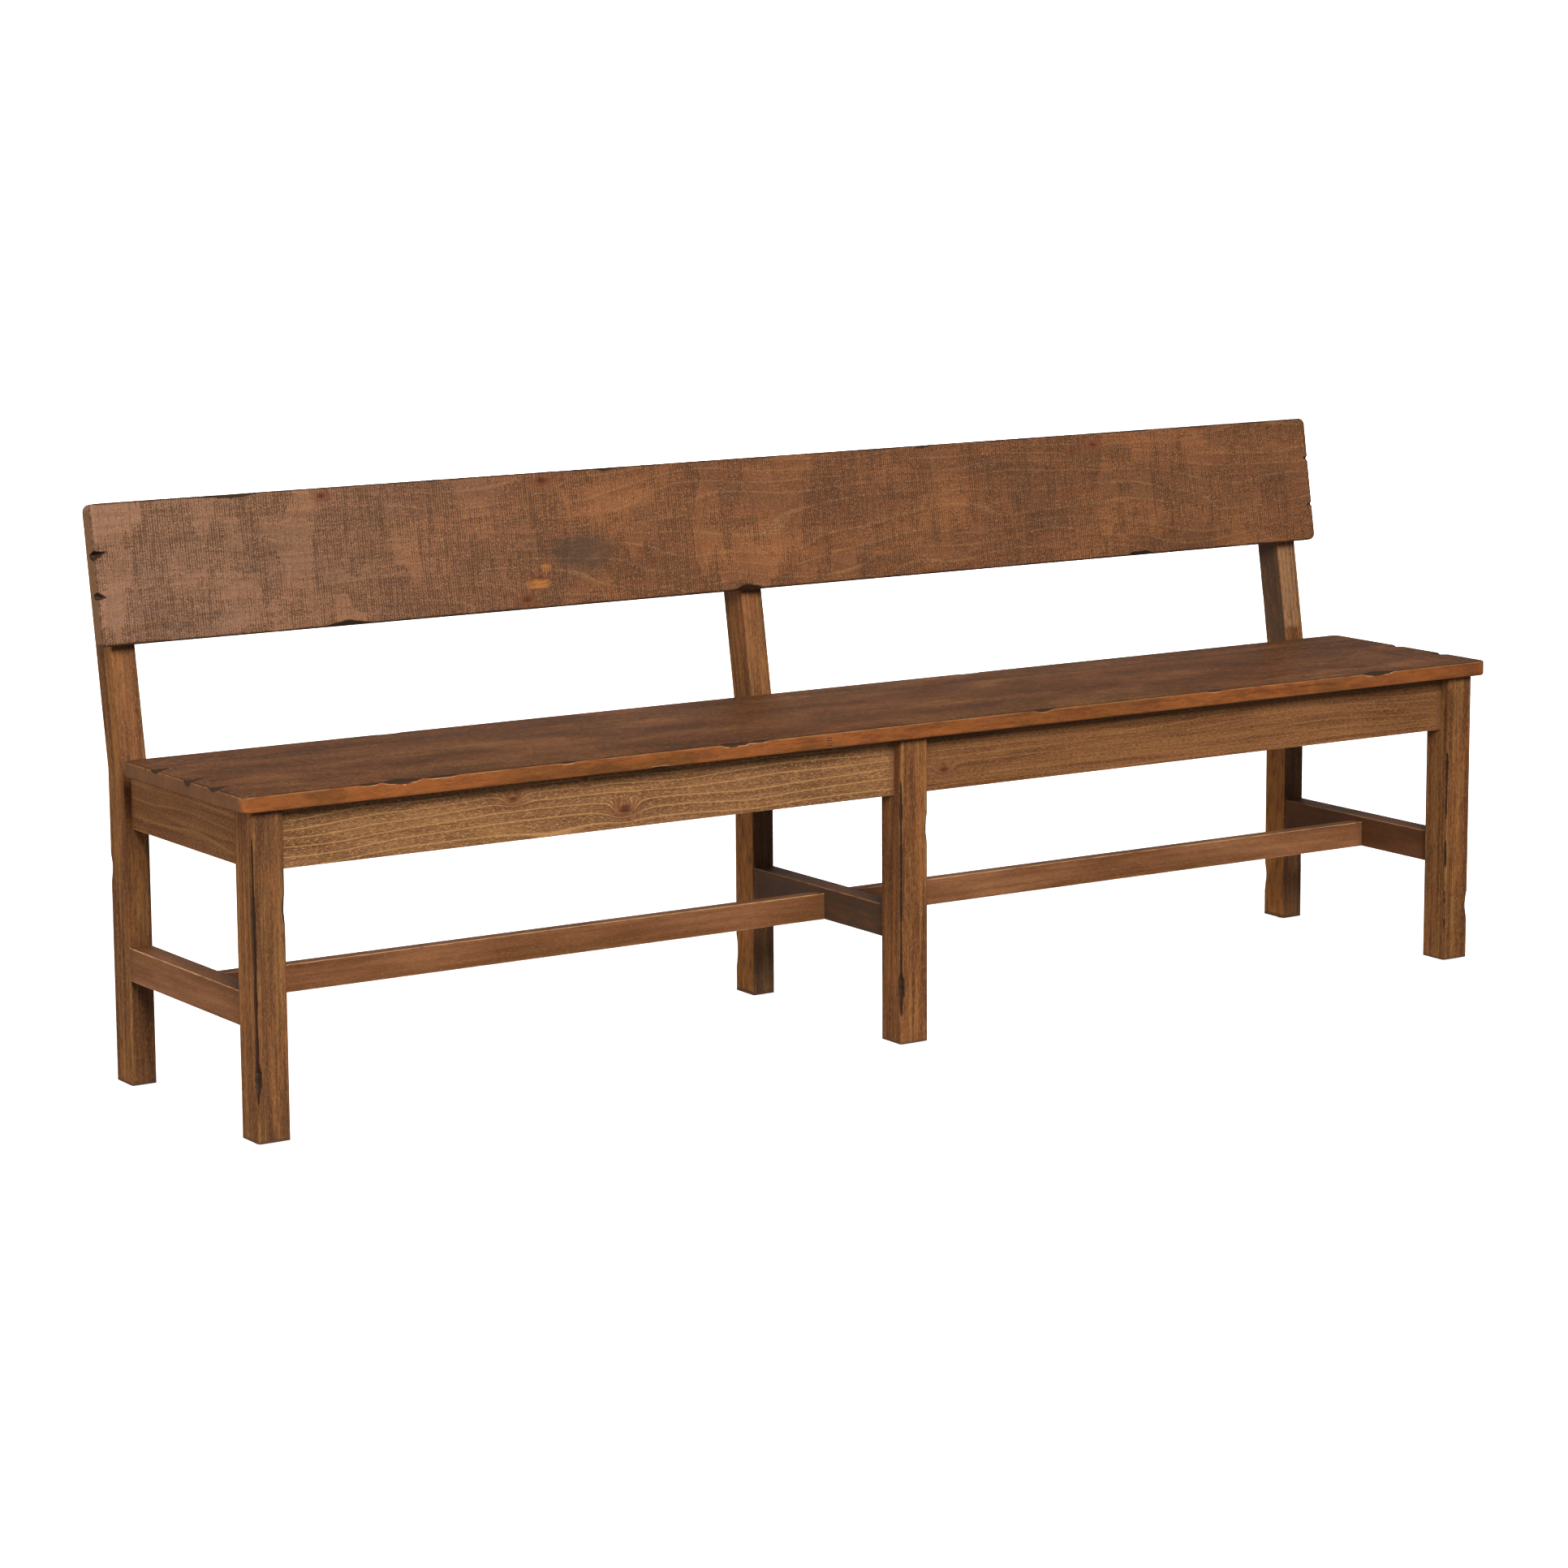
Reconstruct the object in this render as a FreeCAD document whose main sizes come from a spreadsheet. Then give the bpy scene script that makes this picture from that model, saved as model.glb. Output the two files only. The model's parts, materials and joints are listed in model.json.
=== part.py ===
import FreeCAD, Part
import math
import os
import re
import Sketcher

# Dining bench with a plank back: a glued-up seat on aprons, three front legs, three bent rear legs,
# low stretchers in an H on each side of the middle, dowelled joints and corner blocks under the seat.
# Frame: +X along the bench, +Y to the back, +Z up, origin on the floor under the middle of the bench.

doc = FreeCAD.newDocument("DiningBench")
sheet = doc.addObject("Spreadsheet::Sheet", "Sizes")

# Driving dimensions in millimetres, the lean in degrees
sizes = {
    # Seat, glued up from three boards
    "seat_length": 2072,
    "seat_height": 457,
    "seat_thickness": 22,
    "seat_front_overhang": 13,
    "seat_end_overhang": 18,
    "front_board_width": 139,
    "middle_board_width": 139,
    "rear_board_width": 71,
    "seat_corner_radius": 12,
    "seat_edge_radius": 3,
    # Back board, one wide plank screwed to the leaning posts
    "back_board_overhang": 17,
    "back_board_width": 190,
    "back_board_thickness": 25,
    "back_board_rise": 165,
    "back_board_corner_radius": 10,
    "back_board_edge_radius": 3,
    "back_lean": 9.6,
    # Legs: the rear ones bend back at the seat and carry the back board
    "front_leg_width": 46,
    "front_leg_depth": 48,
    "rear_leg_width": 36,
    "rear_leg_depth": 48,
    "post_gap": 49,
    "bend_drop": 22,
    "post_top_drop": 20,
    "leg_edge_radius": 2,
    # Aprons and rails under the seat
    "apron_height": 81,
    "apron_thickness": 20,
    "apron_setback": 16,
    "side_apron_inset": 16,
    "middle_rail_thickness": 33,
    "rear_rail_inset": 12,
    "rail_edge_radius": 1.5,
    # Stretchers between the legs
    "stretcher_lift": 148,
    "cross_stretcher_height": 46,
    "cross_stretcher_thickness": 33,
    "long_stretcher_height": 38,
    "long_stretcher_thickness": 20,
    "long_stretcher_forward": 6,
    # Dowels
    "dowel_diameter": 8,
    "dowel_leg_depth": 16,
    "dowel_rail_depth": 22,
    "dowel_web": 6,
    "dowel_clearance": 0.1,
    "dowel_end_gap": 0.5,
    "apron_dowel_edge": 15,
    "cross_rail_dowel_spacing": 26,
    "cross_stretcher_dowel_spacing": 22,
    "long_stretcher_dowel_spacing": 18,
    # Glides nailed under the legs
    "glide_diameter": 19,
    "glide_height": 4,
    "glide_edge_radius": 3,
    "nail_diameter": 2.5,
    "nail_leg_depth": 20,
    "nail_floor": 1.5,
    "nail_clearance": 0.1,
    # Corner blocks
    "block_foot": 32,
    "block_height": 45,
    "block_leg_gap": 3,
    # Screws
    "screw_clearance": 0.1,
    "screw_tip_gap": 0.5,
    "screw_head_gap": 0.5,
    "block_screw_diameter": 4,
    "block_screw_head_diameter": 8,
    "block_screw_head_height": 3,
    "block_screw_socket_width": 4,
    "block_screw_socket_depth": 1.5,
    "block_screw_grip": 8,
    "block_screw_web": 6,
    "seat_screw_web": 8,
    "seat_screw_recess": 14,
    "post_screw_diameter": 5,
    "post_screw_head_diameter": 10,
    "post_screw_head_height": 3.5,
    "post_screw_socket_width": 5,
    "post_screw_socket_depth": 1.8,
    "post_screw_web": 9,
    "post_screw_recess": 14,
    "post_screw_spacing": 100,
    "screw_tip_length": 4,
    "screw_tip_width": 1,
}

# Levels and places that follow from the driving dimensions
derived = {
    "seat_depth": "front_board_width + middle_board_width + rear_board_width",
    "seat_underside": "seat_height - seat_thickness",
    "leg_span": "seat_length - 2 * seat_end_overhang",
    "back_board_length": "leg_span + 2 * back_board_overhang",
    "rear_leg_setback": "seat_depth - seat_front_overhang + post_gap",
    "leg_foot": "glide_height",
    "bend_level": "seat_height - bend_drop",
    "post_length": "back_board_rise + back_board_width - post_top_drop",
    "rear_reach": "rear_leg_setback + post_length * sin(back_lean) + rear_leg_depth * cos(back_lean)",
    "front_face": "(seat_front_overhang - rear_reach) / 2",
    "front_leg_back": "front_face + front_leg_depth",
    "rear_face": "front_face + rear_leg_setback",
    "seat_front": "front_face - seat_front_overhang",
    "seat_rear": "seat_front + seat_depth",
    "leg_centre": "(leg_span - front_leg_width) / 2",
    "side_apron_outer": "leg_span / 2 - side_apron_inset",
    "side_apron_inner": "side_apron_outer - apron_thickness",
    "apron_bottom": "seat_underside - apron_height",
    "apron_front": "front_face + apron_setback",
    "apron_back": "apron_front + apron_thickness",
    "rear_rail_back": "seat_rear - rear_rail_inset",
    "rear_rail_front": "rear_rail_back - apron_thickness",
    "bay_middle": "front_leg_width / 2",
    "bay_end": "leg_centre - front_leg_width / 2",
    "cross_span": "rear_face - front_leg_back",
    "long_front": "(front_leg_back + rear_face - long_stretcher_thickness) / 2 - long_stretcher_forward",
    "dowel_hole": "dowel_diameter + 2 * dowel_clearance",
    "dowel_rail_hole": "dowel_rail_depth + dowel_end_gap",
    "apron_dowel_depth": "(front_leg_width - dowel_web) / 2",
    "rear_rail_dowel_depth": "min(apron_thickness - dowel_web; (middle_rail_thickness - dowel_web) / 2)",
    "long_stretcher_dowel_depth": "(cross_stretcher_thickness - dowel_web) / 2",
    "block_bottom": "seat_underside - block_height",
    "block_middle": "seat_underside - block_height / 2",
    "leg_past_apron": "front_leg_depth - apron_setback - apron_thickness",
    "end_leg_past_rail": "front_leg_width - side_apron_inset - apron_thickness",
    "middle_leg_past_rail": "(front_leg_width - middle_rail_thickness) / 2",
    "block_clip": "max(end_leg_past_rail; middle_leg_past_rail) + leg_past_apron + block_leg_gap",
    "block_reach": "block_clip + block_foot",
    "block_screw_place": "block_clip + block_foot / 2",
    "seat_screw_place": "(block_clip + block_reach) / 4",
    "block_screw_bite": "min(apron_thickness; middle_rail_thickness / 2) - block_screw_web / 2",
    "seat_screw_bite": "seat_thickness - seat_screw_web",
    "post_screw_bite": "back_board_thickness - post_screw_web",
    "block_screw_hole": "block_screw_diameter + 2 * screw_clearance",
    "block_head_hole": "block_screw_head_diameter + 2 * screw_head_gap",
    "block_pilot": "block_screw_bite + screw_tip_gap",
    "seat_pilot": "seat_screw_bite + screw_tip_gap",
    "post_screw_hole": "post_screw_diameter + 2 * screw_clearance",
    "post_head_hole": "post_screw_head_diameter + 2 * screw_head_gap",
    "post_pilot": "post_screw_bite + screw_tip_gap",
    "post_grip": "rear_leg_depth - post_screw_recess",
    "board_middle": "back_board_rise + back_board_width / 2",
    "nail_hole": "nail_diameter + 2 * nail_clearance",
    "nail_leg_hole": "nail_leg_depth + nail_clearance",
    "nail_glide_depth": "glide_height - nail_floor",
    "nail_glide_hole": "nail_glide_depth + nail_clearance",
    "glide_rounding": "min(glide_edge_radius; glide_height - nail_clearance)",
}

for row, (name, value) in enumerate(sizes.items(), 1):
    sheet.set(f"A{row}", name)
    sheet.set(f"B{row}", str(value))
    sheet.setAlias(f"B{row}", name)
for row, (name, formula) in enumerate(derived.items(), len(sizes) + 1):
    sheet.set(f"A{row}", name)
    sheet.set(f"B{row}", "=" + formula)
    sheet.setAlias(f"B{row}", name)
doc.recompute()

nodes = []


def rule(text):
    """Writes a rule in the sheet's words as an expression that other objects can hold."""
    known = sizes.keys() | derived.keys()
    return re.sub(r"[a-z]\w*", lambda m: "Sizes." + m.group() if m.group() in known else m.group(), text)


def bind(thing, prop, text):
    thing.setExpression(prop, rule(text))


def place(thing, x, y, z):
    bind(thing, "Placement.Base.x", x)
    bind(thing, "Placement.Base.y", y)
    bind(thing, "Placement.Base.z", z)


def turned(axis, angle):
    return FreeCAD.Rotation(FreeCAD.Vector(*axis), angle)


x_axis = (1, 0, 0)
y_axis = (0, 1, 0)
z_axis = (0, 0, 1)
plane_of = {"X": "YZ_Plane", "Y": "XZ_Plane", "Z": "XY_Plane"}
# Distance below which two places count as one
touch = 1e-6


class Member:
    """One solid piece of the bench: a body with its corner at a place worked out from the sheet."""

    def __init__(self, label, x="0", y="0", z="0"):
        self.body = doc.addObject("PartDesign::Body", label)
        self.body.Label = label
        self.corner = {"X": x, "Y": y, "Z": z}
        place(self.body, x, y, z)
        nodes.append(self.body)

    def local(self, axis, text):
        return f"({text}) - ({self.corner[axis]})"

    def sketch(self, axis):
        """Sketch on the body's plane across an axis; X gives (Y, Z), Y gives (X, Z), Z gives (X, Y)."""
        sketch = self.body.newObject("Sketcher::SketchObject", "Profile")
        plane = [f for f in self.body.Origin.OriginFeatures if f.Role == plane_of[axis]][0]
        sketch.AttachmentSupport = [(plane, "")]
        sketch.MapMode = "FlatFace"
        return sketch

    def pin_point(self, sketch, geometry, end, across, along):
        """Fixes one point of a sketch: on an axis where its place is 0, by a bound distance elsewhere."""
        for kind, axis_line, text in (("DistanceX", -2, across), ("DistanceY", -1, along)):
            if text == "0":
                sketch.addConstraint(Sketcher.Constraint("PointOnObject", geometry, end, axis_line))
                continue
            value = sheet_value(text)
            index = sketch.addConstraint(Sketcher.Constraint(kind, -1, 1, geometry, end, value))
            bind(sketch, f"Constraints[{index}]", text)

    def outline(self, axis, corners):
        """Closed outline with straight sides through the given corners."""
        sketch = self.sketch(axis)
        spots = [FreeCAD.Vector(sheet_value(a), sheet_value(b), 0) for a, b in corners]
        count = len(spots)
        for i in range(count):
            sketch.addGeometry(Part.LineSegment(spots[i], spots[(i + 1) % count]))
        for i in range(count):
            sketch.addConstraint(Sketcher.Constraint("Coincident", i, 2, (i + 1) % count, 1))
        for i, (across, along) in enumerate(corners):
            self.pin_point(sketch, i, 1, across, along)
        return sketch

    def pad(self, axis, corners, length):
        """Solid grown from an outline along the positive axis."""
        pad = self.body.newObject("PartDesign::Pad", "Blank")
        pad.Profile = self.outline(axis, corners)
        pad.Reversed = axis == "Y"
        bind(pad, "Length", length)
        doc.recompute()
        return self

    def block(self, axis, across, along, length):
        return self.pad(axis, [("0", "0"), (across, "0"), (across, along), ("0", along)], length)

    def soften(self, wanted, radius):
        """Rounds the edges of the solid so far that pass the test."""
        tip = self.body.Tip
        names = [f"Edge{i}" for i, edge in enumerate(tip.Shape.Edges, 1) if wanted(edge)]
        fillet = self.body.newObject("PartDesign::Fillet", "Rounding")
        fillet.Base = (tip, names)
        bind(fillet, "Radius", radius)
        doc.recompute()
        return self

    def cut(self, sketch, depth, backwards, hole_volume):
        """Pocket from a sketch; the volume it takes away is compared with that of its holes."""
        before = self.body.Tip.Shape.Volume
        pocket = self.body.newObject("PartDesign::Pocket", "Hole")
        pocket.Profile = sketch
        pocket.Reversed = backwards
        bind(pocket, "Length", depth)
        doc.recompute()
        removed = before - self.body.Tip.Shape.Volume
        if not 0 < removed < hole_volume * 1.001:
            raise RuntimeError(f"{self.body.Label}: a hole took {removed:.1f} of {hole_volume:.1f} cubic mm")

    def circles(self, sketch, centres, diameter):
        radius = sheet_value(diameter) / 2
        for across, along in centres:
            centre = FreeCAD.Vector(sheet_value(across), sheet_value(along), 0)
            ring = sketch.addGeometry(Part.Circle(centre, FreeCAD.Vector(*z_axis), radius))
            self.pin_point(sketch, ring, 3, across, along)
            index = sketch.addConstraint(Sketcher.Constraint("Diameter", ring, 2 * radius))
            bind(sketch, f"Constraints[{index}]", diameter)
        return len(centres) * math.pi * radius**2

    def drill(self, axis, mouth, way, centres, diameter, depth):
        """Round holes along an axis from a mouth, way +1 or -1, with centres in the bench's frame."""
        sketch = self.sketch(axis)
        sides = {"X": "YZ", "Y": "XZ", "Z": "XY"}[axis]
        places = [(self.local(sides[0], a), self.local(sides[1], b)) for a, b in centres]
        area = self.circles(sketch, places, diameter)
        sign = "-" if axis == "Y" else ""
        bind(sketch, "AttachmentOffset.Base.z", f"{sign}({self.local(axis, mouth)})")
        forward = way > 0
        backwards = (not forward) if axis == "Y" else forward
        self.cut(sketch, depth, backwards, area * sheet_value(depth))
        return self


def sheet_value(text):
    """Present value of a rule in the sheet's words, to start a sketch near its solved shape."""
    return float(sheet.evalExpression(rule(text)))


def straight_along(axis):
    """Test for straight edges along an axis."""
    unit = FreeCAD.Vector(*axis)

    def test(edge):
        if not isinstance(edge.Curve, Part.Line):
            return False
        return abs(abs(edge.tangentAt(edge.FirstParameter).dot(unit)) - 1) < touch

    return test


def pair(middle, spacing):
    """Two places, one on each side of a middle."""
    return [f"{middle} - {spacing} / 2", f"{middle} + {spacing} / 2"]


def group(label, members):
    """Identical small pieces in one node."""
    compound = doc.addObject("Part::Compound", label)
    compound.Label = label
    compound.Links = members
    nodes.append(compound)


# Hole heights shared by the two sides of each joint
apron_middle = "(apron_bottom + apron_height / 2)"
apron_dowel_levels = ["apron_bottom + apron_dowel_edge", "seat_underside - apron_dowel_edge"]
cross_rail_dowel_levels = pair(apron_middle, "cross_rail_dowel_spacing")
cross_middle = "(stretcher_lift + cross_stretcher_height / 2)"
cross_dowel_levels = pair(cross_middle, "cross_stretcher_dowel_spacing")
long_middle = "(stretcher_lift + long_stretcher_height / 2)"
long_dowel_levels = pair(long_middle, "long_stretcher_dowel_spacing")
apron_line = "apron_front + apron_thickness / 2"
rear_rail_line = "rear_rail_front + apron_thickness / 2"
long_line = "long_front + long_stretcher_thickness / 2"
leg_dowel_hole = "dowel_leg_depth + dowel_end_gap"

# The three leg frames, left to right, with the middle line of each and of the rail in it
frames = {
    "left": {"x": "(-leg_centre)", "rail": "-side_apron_outer", "rail_thickness": "apron_thickness"},
    "middle": {"x": "0", "rail": "-middle_rail_thickness / 2", "rail_thickness": "middle_rail_thickness"},
    "right": {"x": "leg_centre", "rail": "side_apron_inner", "rail_thickness": "apron_thickness"},
}
for spec in frames.values():
    spec["rail_line"] = f"({spec['rail']} + {spec['rail_thickness']} / 2)"

# The two bays between the frames, with the faces that the long pieces meet
bays = {
    "left": {
        "apron": ("-bay_end", "-bay_middle"),
        "rear_rail": ("-side_apron_inner", "-middle_rail_thickness / 2"),
        "stretcher": ("-leg_centre + cross_stretcher_thickness / 2", "-cross_stretcher_thickness / 2"),
    },
    "right": {
        "apron": ("bay_middle", "bay_end"),
        "rear_rail": ("middle_rail_thickness / 2", "side_apron_inner"),
        "stretcher": ("cross_stretcher_thickness / 2", "leg_centre - cross_stretcher_thickness / 2"),
    },
}
# The sides of each frame that have a bay
beside = {"left": [1], "middle": [-1, 1], "right": [-1]}

# Corners of the two bays under the seat, each with the quarter turn that fits a corner block into it
block_corners = []
for bay in bays.values():
    low, high = bay["rear_rail"]
    block_corners.append((low, "apron_back", 0))
    block_corners.append((high, "apron_back", 90))
    block_corners.append((high, "rear_rail_front", 180))
    block_corners.append((low, "rear_rail_front", 270))


def turn_place(corner, across, along):
    """Place in the bench's frame of a point of a corner block that is turned by quarter turns."""
    x, y, angle = corner
    signs = {0: ((across, 1), (along, 1)), 90: ((along, -1), (across, 1))}
    signs[180] = ((across, -1), (along, -1))
    signs[270] = ((along, 1), (across, -1))
    (dx, sx), (dy, sy) = signs[angle]
    return f"{x} {'+' if sx > 0 else '-'} ({dx})", f"{y} {'+' if sy > 0 else '-'} ({dy})"


seat_screw_spots = [turn_place(corner, "seat_screw_place", "seat_screw_place") for corner in block_corners]


# Seat: three boards edge to edge, rounded all round the outside and square at the seams
def make_seat_board(label, front, width, front_seam, rear_seam):
    seat_board = Member(label, "-seat_length / 2", front, "seat_underside")
    seat_board.block("Z", "seat_length", width, "seat_thickness")
    depth = sheet_value(width)

    def at_seam(edge):
        y = edge.CenterOfMass.y
        flat = edge.BoundBox.YLength < touch
        return flat and ((front_seam and y < touch) or (rear_seam and y > depth - touch))

    upright = straight_along(z_axis)
    if not (front_seam and rear_seam):
        seat_board.soften(lambda edge: upright(edge) and not at_seam(edge), "seat_corner_radius")
    seat_board.soften(lambda edge: edge.BoundBox.ZLength < touch and not at_seam(edge), "seat_edge_radius")
    hole_radius = sheet_value("block_screw_hole") / 2
    from_middle = [sheet_value(f"{y} - ({front} + {width} / 2)") for x, y in seat_screw_spots]
    spots = [spot for spot, gap in zip(seat_screw_spots, from_middle) if abs(gap) < depth / 2 + hole_radius]
    if spots:
        seat_board.drill("Z", "seat_underside", 1, spots, "block_screw_hole", "seat_pilot")


front_seam_line = "seat_front + front_board_width"
rear_seam_line = f"{front_seam_line} + middle_board_width"
make_seat_board("seat_front_board", "seat_front", "front_board_width", False, True)
make_seat_board("seat_middle_board", front_seam_line, "middle_board_width", True, True)
make_seat_board("seat_rear_board", rear_seam_line, "rear_board_width", True, False)

# Back board, leaning on the posts
back_board = Member("back_board")
back_board.body.Placement = FreeCAD.Placement(FreeCAD.Vector(), turned(x_axis, -1))
bind(back_board.body, "Placement.Rotation.Angle", "-back_lean")
place(
    back_board.body,
    "-back_board_length / 2",
    "rear_face + back_board_rise * sin(back_lean) - back_board_thickness * cos(back_lean)",
    "bend_level + back_board_rise * cos(back_lean) + back_board_thickness * sin(back_lean)",
)
back_board.block("Y", "back_board_length", "back_board_width", "back_board_thickness")
back_board.soften(straight_along(y_axis), "back_board_corner_radius")
back_board.soften(lambda edge: edge.BoundBox.YLength < touch, "back_board_edge_radius")
post_screw_rises = pair("board_middle", "post_screw_spacing")
board_spots = [
    (f"back_board_length / 2 + {spec['x']}", f"{rise} - back_board_rise")
    for spec in frames.values()
    for rise in post_screw_rises
]
back_board.drill("Y", "back_board_thickness", -1, board_spots, "post_screw_hole", "post_pilot")

# Leg frames: a front leg, a bent rear leg, a rail under the seat and a cross stretcher, dowelled together
dowels = {"apron": [], "cross_rail": [], "rear_rail": [], "cross_stretcher": [], "long_stretcher": []}


def dowel(kind, depth, rotation, x, y, z):
    pin = doc.addObject("Part::Cylinder", f"{kind}_dowel")
    bind(pin, "Radius", "dowel_diameter / 2")
    bind(pin, "Height", f"{depth} + dowel_rail_depth")
    pin.Placement = FreeCAD.Placement(FreeCAD.Vector(), rotation)
    place(pin, x, y, z)
    dowels[kind].append(pin)


towards_right = turned(y_axis, 90)
towards_left = turned(y_axis, -90)
towards_back = turned(x_axis, -90)
towards_front = turned(x_axis, 90)


def leg_dowels(kind, x, z):
    """The two dowels of a piece that runs from a front leg to a rear leg."""
    dowel(kind, "dowel_leg_depth", towards_back, x, "front_leg_back - dowel_leg_depth", z)
    dowel(kind, "dowel_leg_depth", towards_front, x, "rear_face + dowel_leg_depth", z)


def make_front_leg(name, spec):
    left_face = f"{spec['x']} - front_leg_width / 2"
    leg = Member(f"front_leg_{name}", left_face, "front_face", "leg_foot")
    leg.block("Z", "front_leg_width", "front_leg_depth", "seat_underside - leg_foot")
    leg.soften(straight_along(z_axis), "leg_edge_radius")
    for side in beside[name]:
        face = f"{spec['x']} {'+' if side > 0 else '-'} front_leg_width / 2"
        spots = [(apron_line, level) for level in apron_dowel_levels]
        leg.drill("X", face, -side, spots, "dowel_hole", "apron_dowel_depth + dowel_end_gap")
    rail_spots = [(spec["rail_line"], level) for level in cross_rail_dowel_levels]
    stretcher_spots = [(spec["x"], level) for level in cross_dowel_levels]
    leg.drill("Y", "front_leg_back", -1, rail_spots + stretcher_spots, "dowel_hole", leg_dowel_hole)
    centre = [(spec["x"], "front_face + front_leg_depth / 2")]
    leg.drill("Z", "leg_foot", 1, centre, "nail_hole", "nail_leg_hole")


def make_rear_leg(name, spec):
    left_face = f"{spec['x']} - rear_leg_width / 2"
    leg = Member(f"rear_leg_{name}", left_face, "rear_face", "leg_foot")
    bend = "bend_level - leg_foot"
    top_y = "post_length * sin(back_lean)"
    top_z = f"{bend} + post_length * cos(back_lean)"
    corners = [
        ("0", "0"),
        ("rear_leg_depth", "0"),
        ("rear_leg_depth", f"{bend} - rear_leg_depth * tan(back_lean / 2)"),
        (f"{top_y} + rear_leg_depth * cos(back_lean)", f"{top_z} - rear_leg_depth * sin(back_lean)"),
        (top_y, top_z),
        ("0", bend),
    ]
    leg.pad("X", corners, "rear_leg_width")
    across = straight_along(x_axis)
    flat = straight_along(y_axis)
    leg.soften(lambda edge: not across(edge) and not flat(edge), "leg_edge_radius")
    rail_spots = [(spec["rail_line"], level) for level in cross_rail_dowel_levels]
    stretcher_spots = [(spec["x"], level) for level in cross_dowel_levels]
    leg.drill("Y", "rear_face", 1, rail_spots + stretcher_spots, "dowel_hole", leg_dowel_hole)
    centre = [(spec["x"], "rear_face + rear_leg_depth / 2")]
    leg.drill("Z", "leg_foot", 1, centre, "nail_hole", "nail_leg_hole")
    # Screw holes square to the leaning part, sunk from the back; their sketches start at the bend
    spots = [("rear_leg_width / 2", rise) for rise in post_screw_rises]
    for diameter, start, depth in (
        ("post_screw_hole", "0", "rear_leg_depth"),
        ("post_head_hole", "post_grip", "post_screw_recess"),
    ):
        sketch = leg.sketch("Y")
        sketch.AttachmentOffset = FreeCAD.Placement(FreeCAD.Vector(), turned(x_axis, -1))
        bind(sketch, "AttachmentOffset.Rotation.Angle", "-back_lean")
        bind(sketch, "AttachmentOffset.Base.y", f"{bend} - {start} * sin(back_lean)")
        bind(sketch, "AttachmentOffset.Base.z", f"-{start} * cos(back_lean)")
        area = leg.circles(sketch, spots, diameter)
        leg.cut(sketch, depth, False, area * sheet_value(depth))


def make_cross_rail(name, spec):
    label = "middle_cross_rail" if name == "middle" else f"side_apron_{name}"
    rail = Member(label, spec["rail"], "front_leg_back", "apron_bottom")
    rail.block("Y", spec["rail_thickness"], "apron_height", "cross_span")
    rail.soften(straight_along(y_axis), "rail_edge_radius")
    spots = [(spec["rail_line"], level) for level in cross_rail_dowel_levels]
    rail.drill("Y", "front_leg_back", 1, spots, "dowel_hole", "dowel_rail_hole")
    rail.drill("Y", "rear_face", -1, spots, "dowel_hole", "dowel_rail_hole")
    for level in cross_rail_dowel_levels:
        leg_dowels("cross_rail", spec["rail_line"], level)
    screw_lines = ["apron_back + block_screw_place", "rear_rail_front - block_screw_place"]
    screws = [(line, "block_middle") for line in screw_lines]
    for side in beside[name]:
        face = f"{spec['rail_line']} {'+' if side > 0 else '-'} {spec['rail_thickness']} / 2"
        rail_spots = [(rear_rail_line, level) for level in apron_dowel_levels]
        rail.drill("X", face, -side, rail_spots, "dowel_hole", "rear_rail_dowel_depth + dowel_end_gap")
        rail.drill("X", face, -side, screws, "block_screw_hole", "block_pilot")


def make_cross_stretcher(name, spec):
    left_face = f"{spec['x']} - cross_stretcher_thickness / 2"
    stretcher = Member(f"cross_stretcher_{name}", left_face, "front_leg_back", "stretcher_lift")
    stretcher.block("Y", "cross_stretcher_thickness", "cross_stretcher_height", "cross_span")
    stretcher.soften(straight_along(y_axis), "rail_edge_radius")
    spots = [(spec["x"], level) for level in cross_dowel_levels]
    stretcher.drill("Y", "front_leg_back", 1, spots, "dowel_hole", "dowel_rail_hole")
    stretcher.drill("Y", "rear_face", -1, spots, "dowel_hole", "dowel_rail_hole")
    for level in cross_dowel_levels:
        leg_dowels("cross_stretcher", spec["x"], level)
    for side in beside[name]:
        face = f"{spec['x']} {'+' if side > 0 else '-'} cross_stretcher_thickness / 2"
        spots = [(long_line, level) for level in long_dowel_levels]
        stretcher.drill("X", face, -side, spots, "dowel_hole", "long_stretcher_dowel_depth + dowel_end_gap")


for name, spec in frames.items():
    make_front_leg(name, spec)
    make_rear_leg(name, spec)
    make_cross_rail(name, spec)
    make_cross_stretcher(name, spec)


# Long pieces of each bay, dowelled to the frames at both ends
def make_long_piece(label, kind, ends, front, bottom, thickness, height, levels):
    low, high = ends
    rail = Member(label, low, front, bottom)
    rail.block("X", thickness, height, f"({high}) - ({low})")
    rail.soften(straight_along(x_axis), "rail_edge_radius")
    line = f"{front} + {thickness} / 2"
    spots = [(line, level) for level in levels]
    rail.drill("X", low, 1, spots, "dowel_hole", "dowel_rail_hole")
    rail.drill("X", high, -1, spots, "dowel_hole", "dowel_rail_hole")
    depth = f"{kind}_dowel_depth"
    for level in levels:
        dowel(kind, depth, towards_right, f"{low} - {depth}", line, level)
        dowel(kind, depth, towards_left, f"{high} + {depth}", line, level)
    return rail


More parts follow.
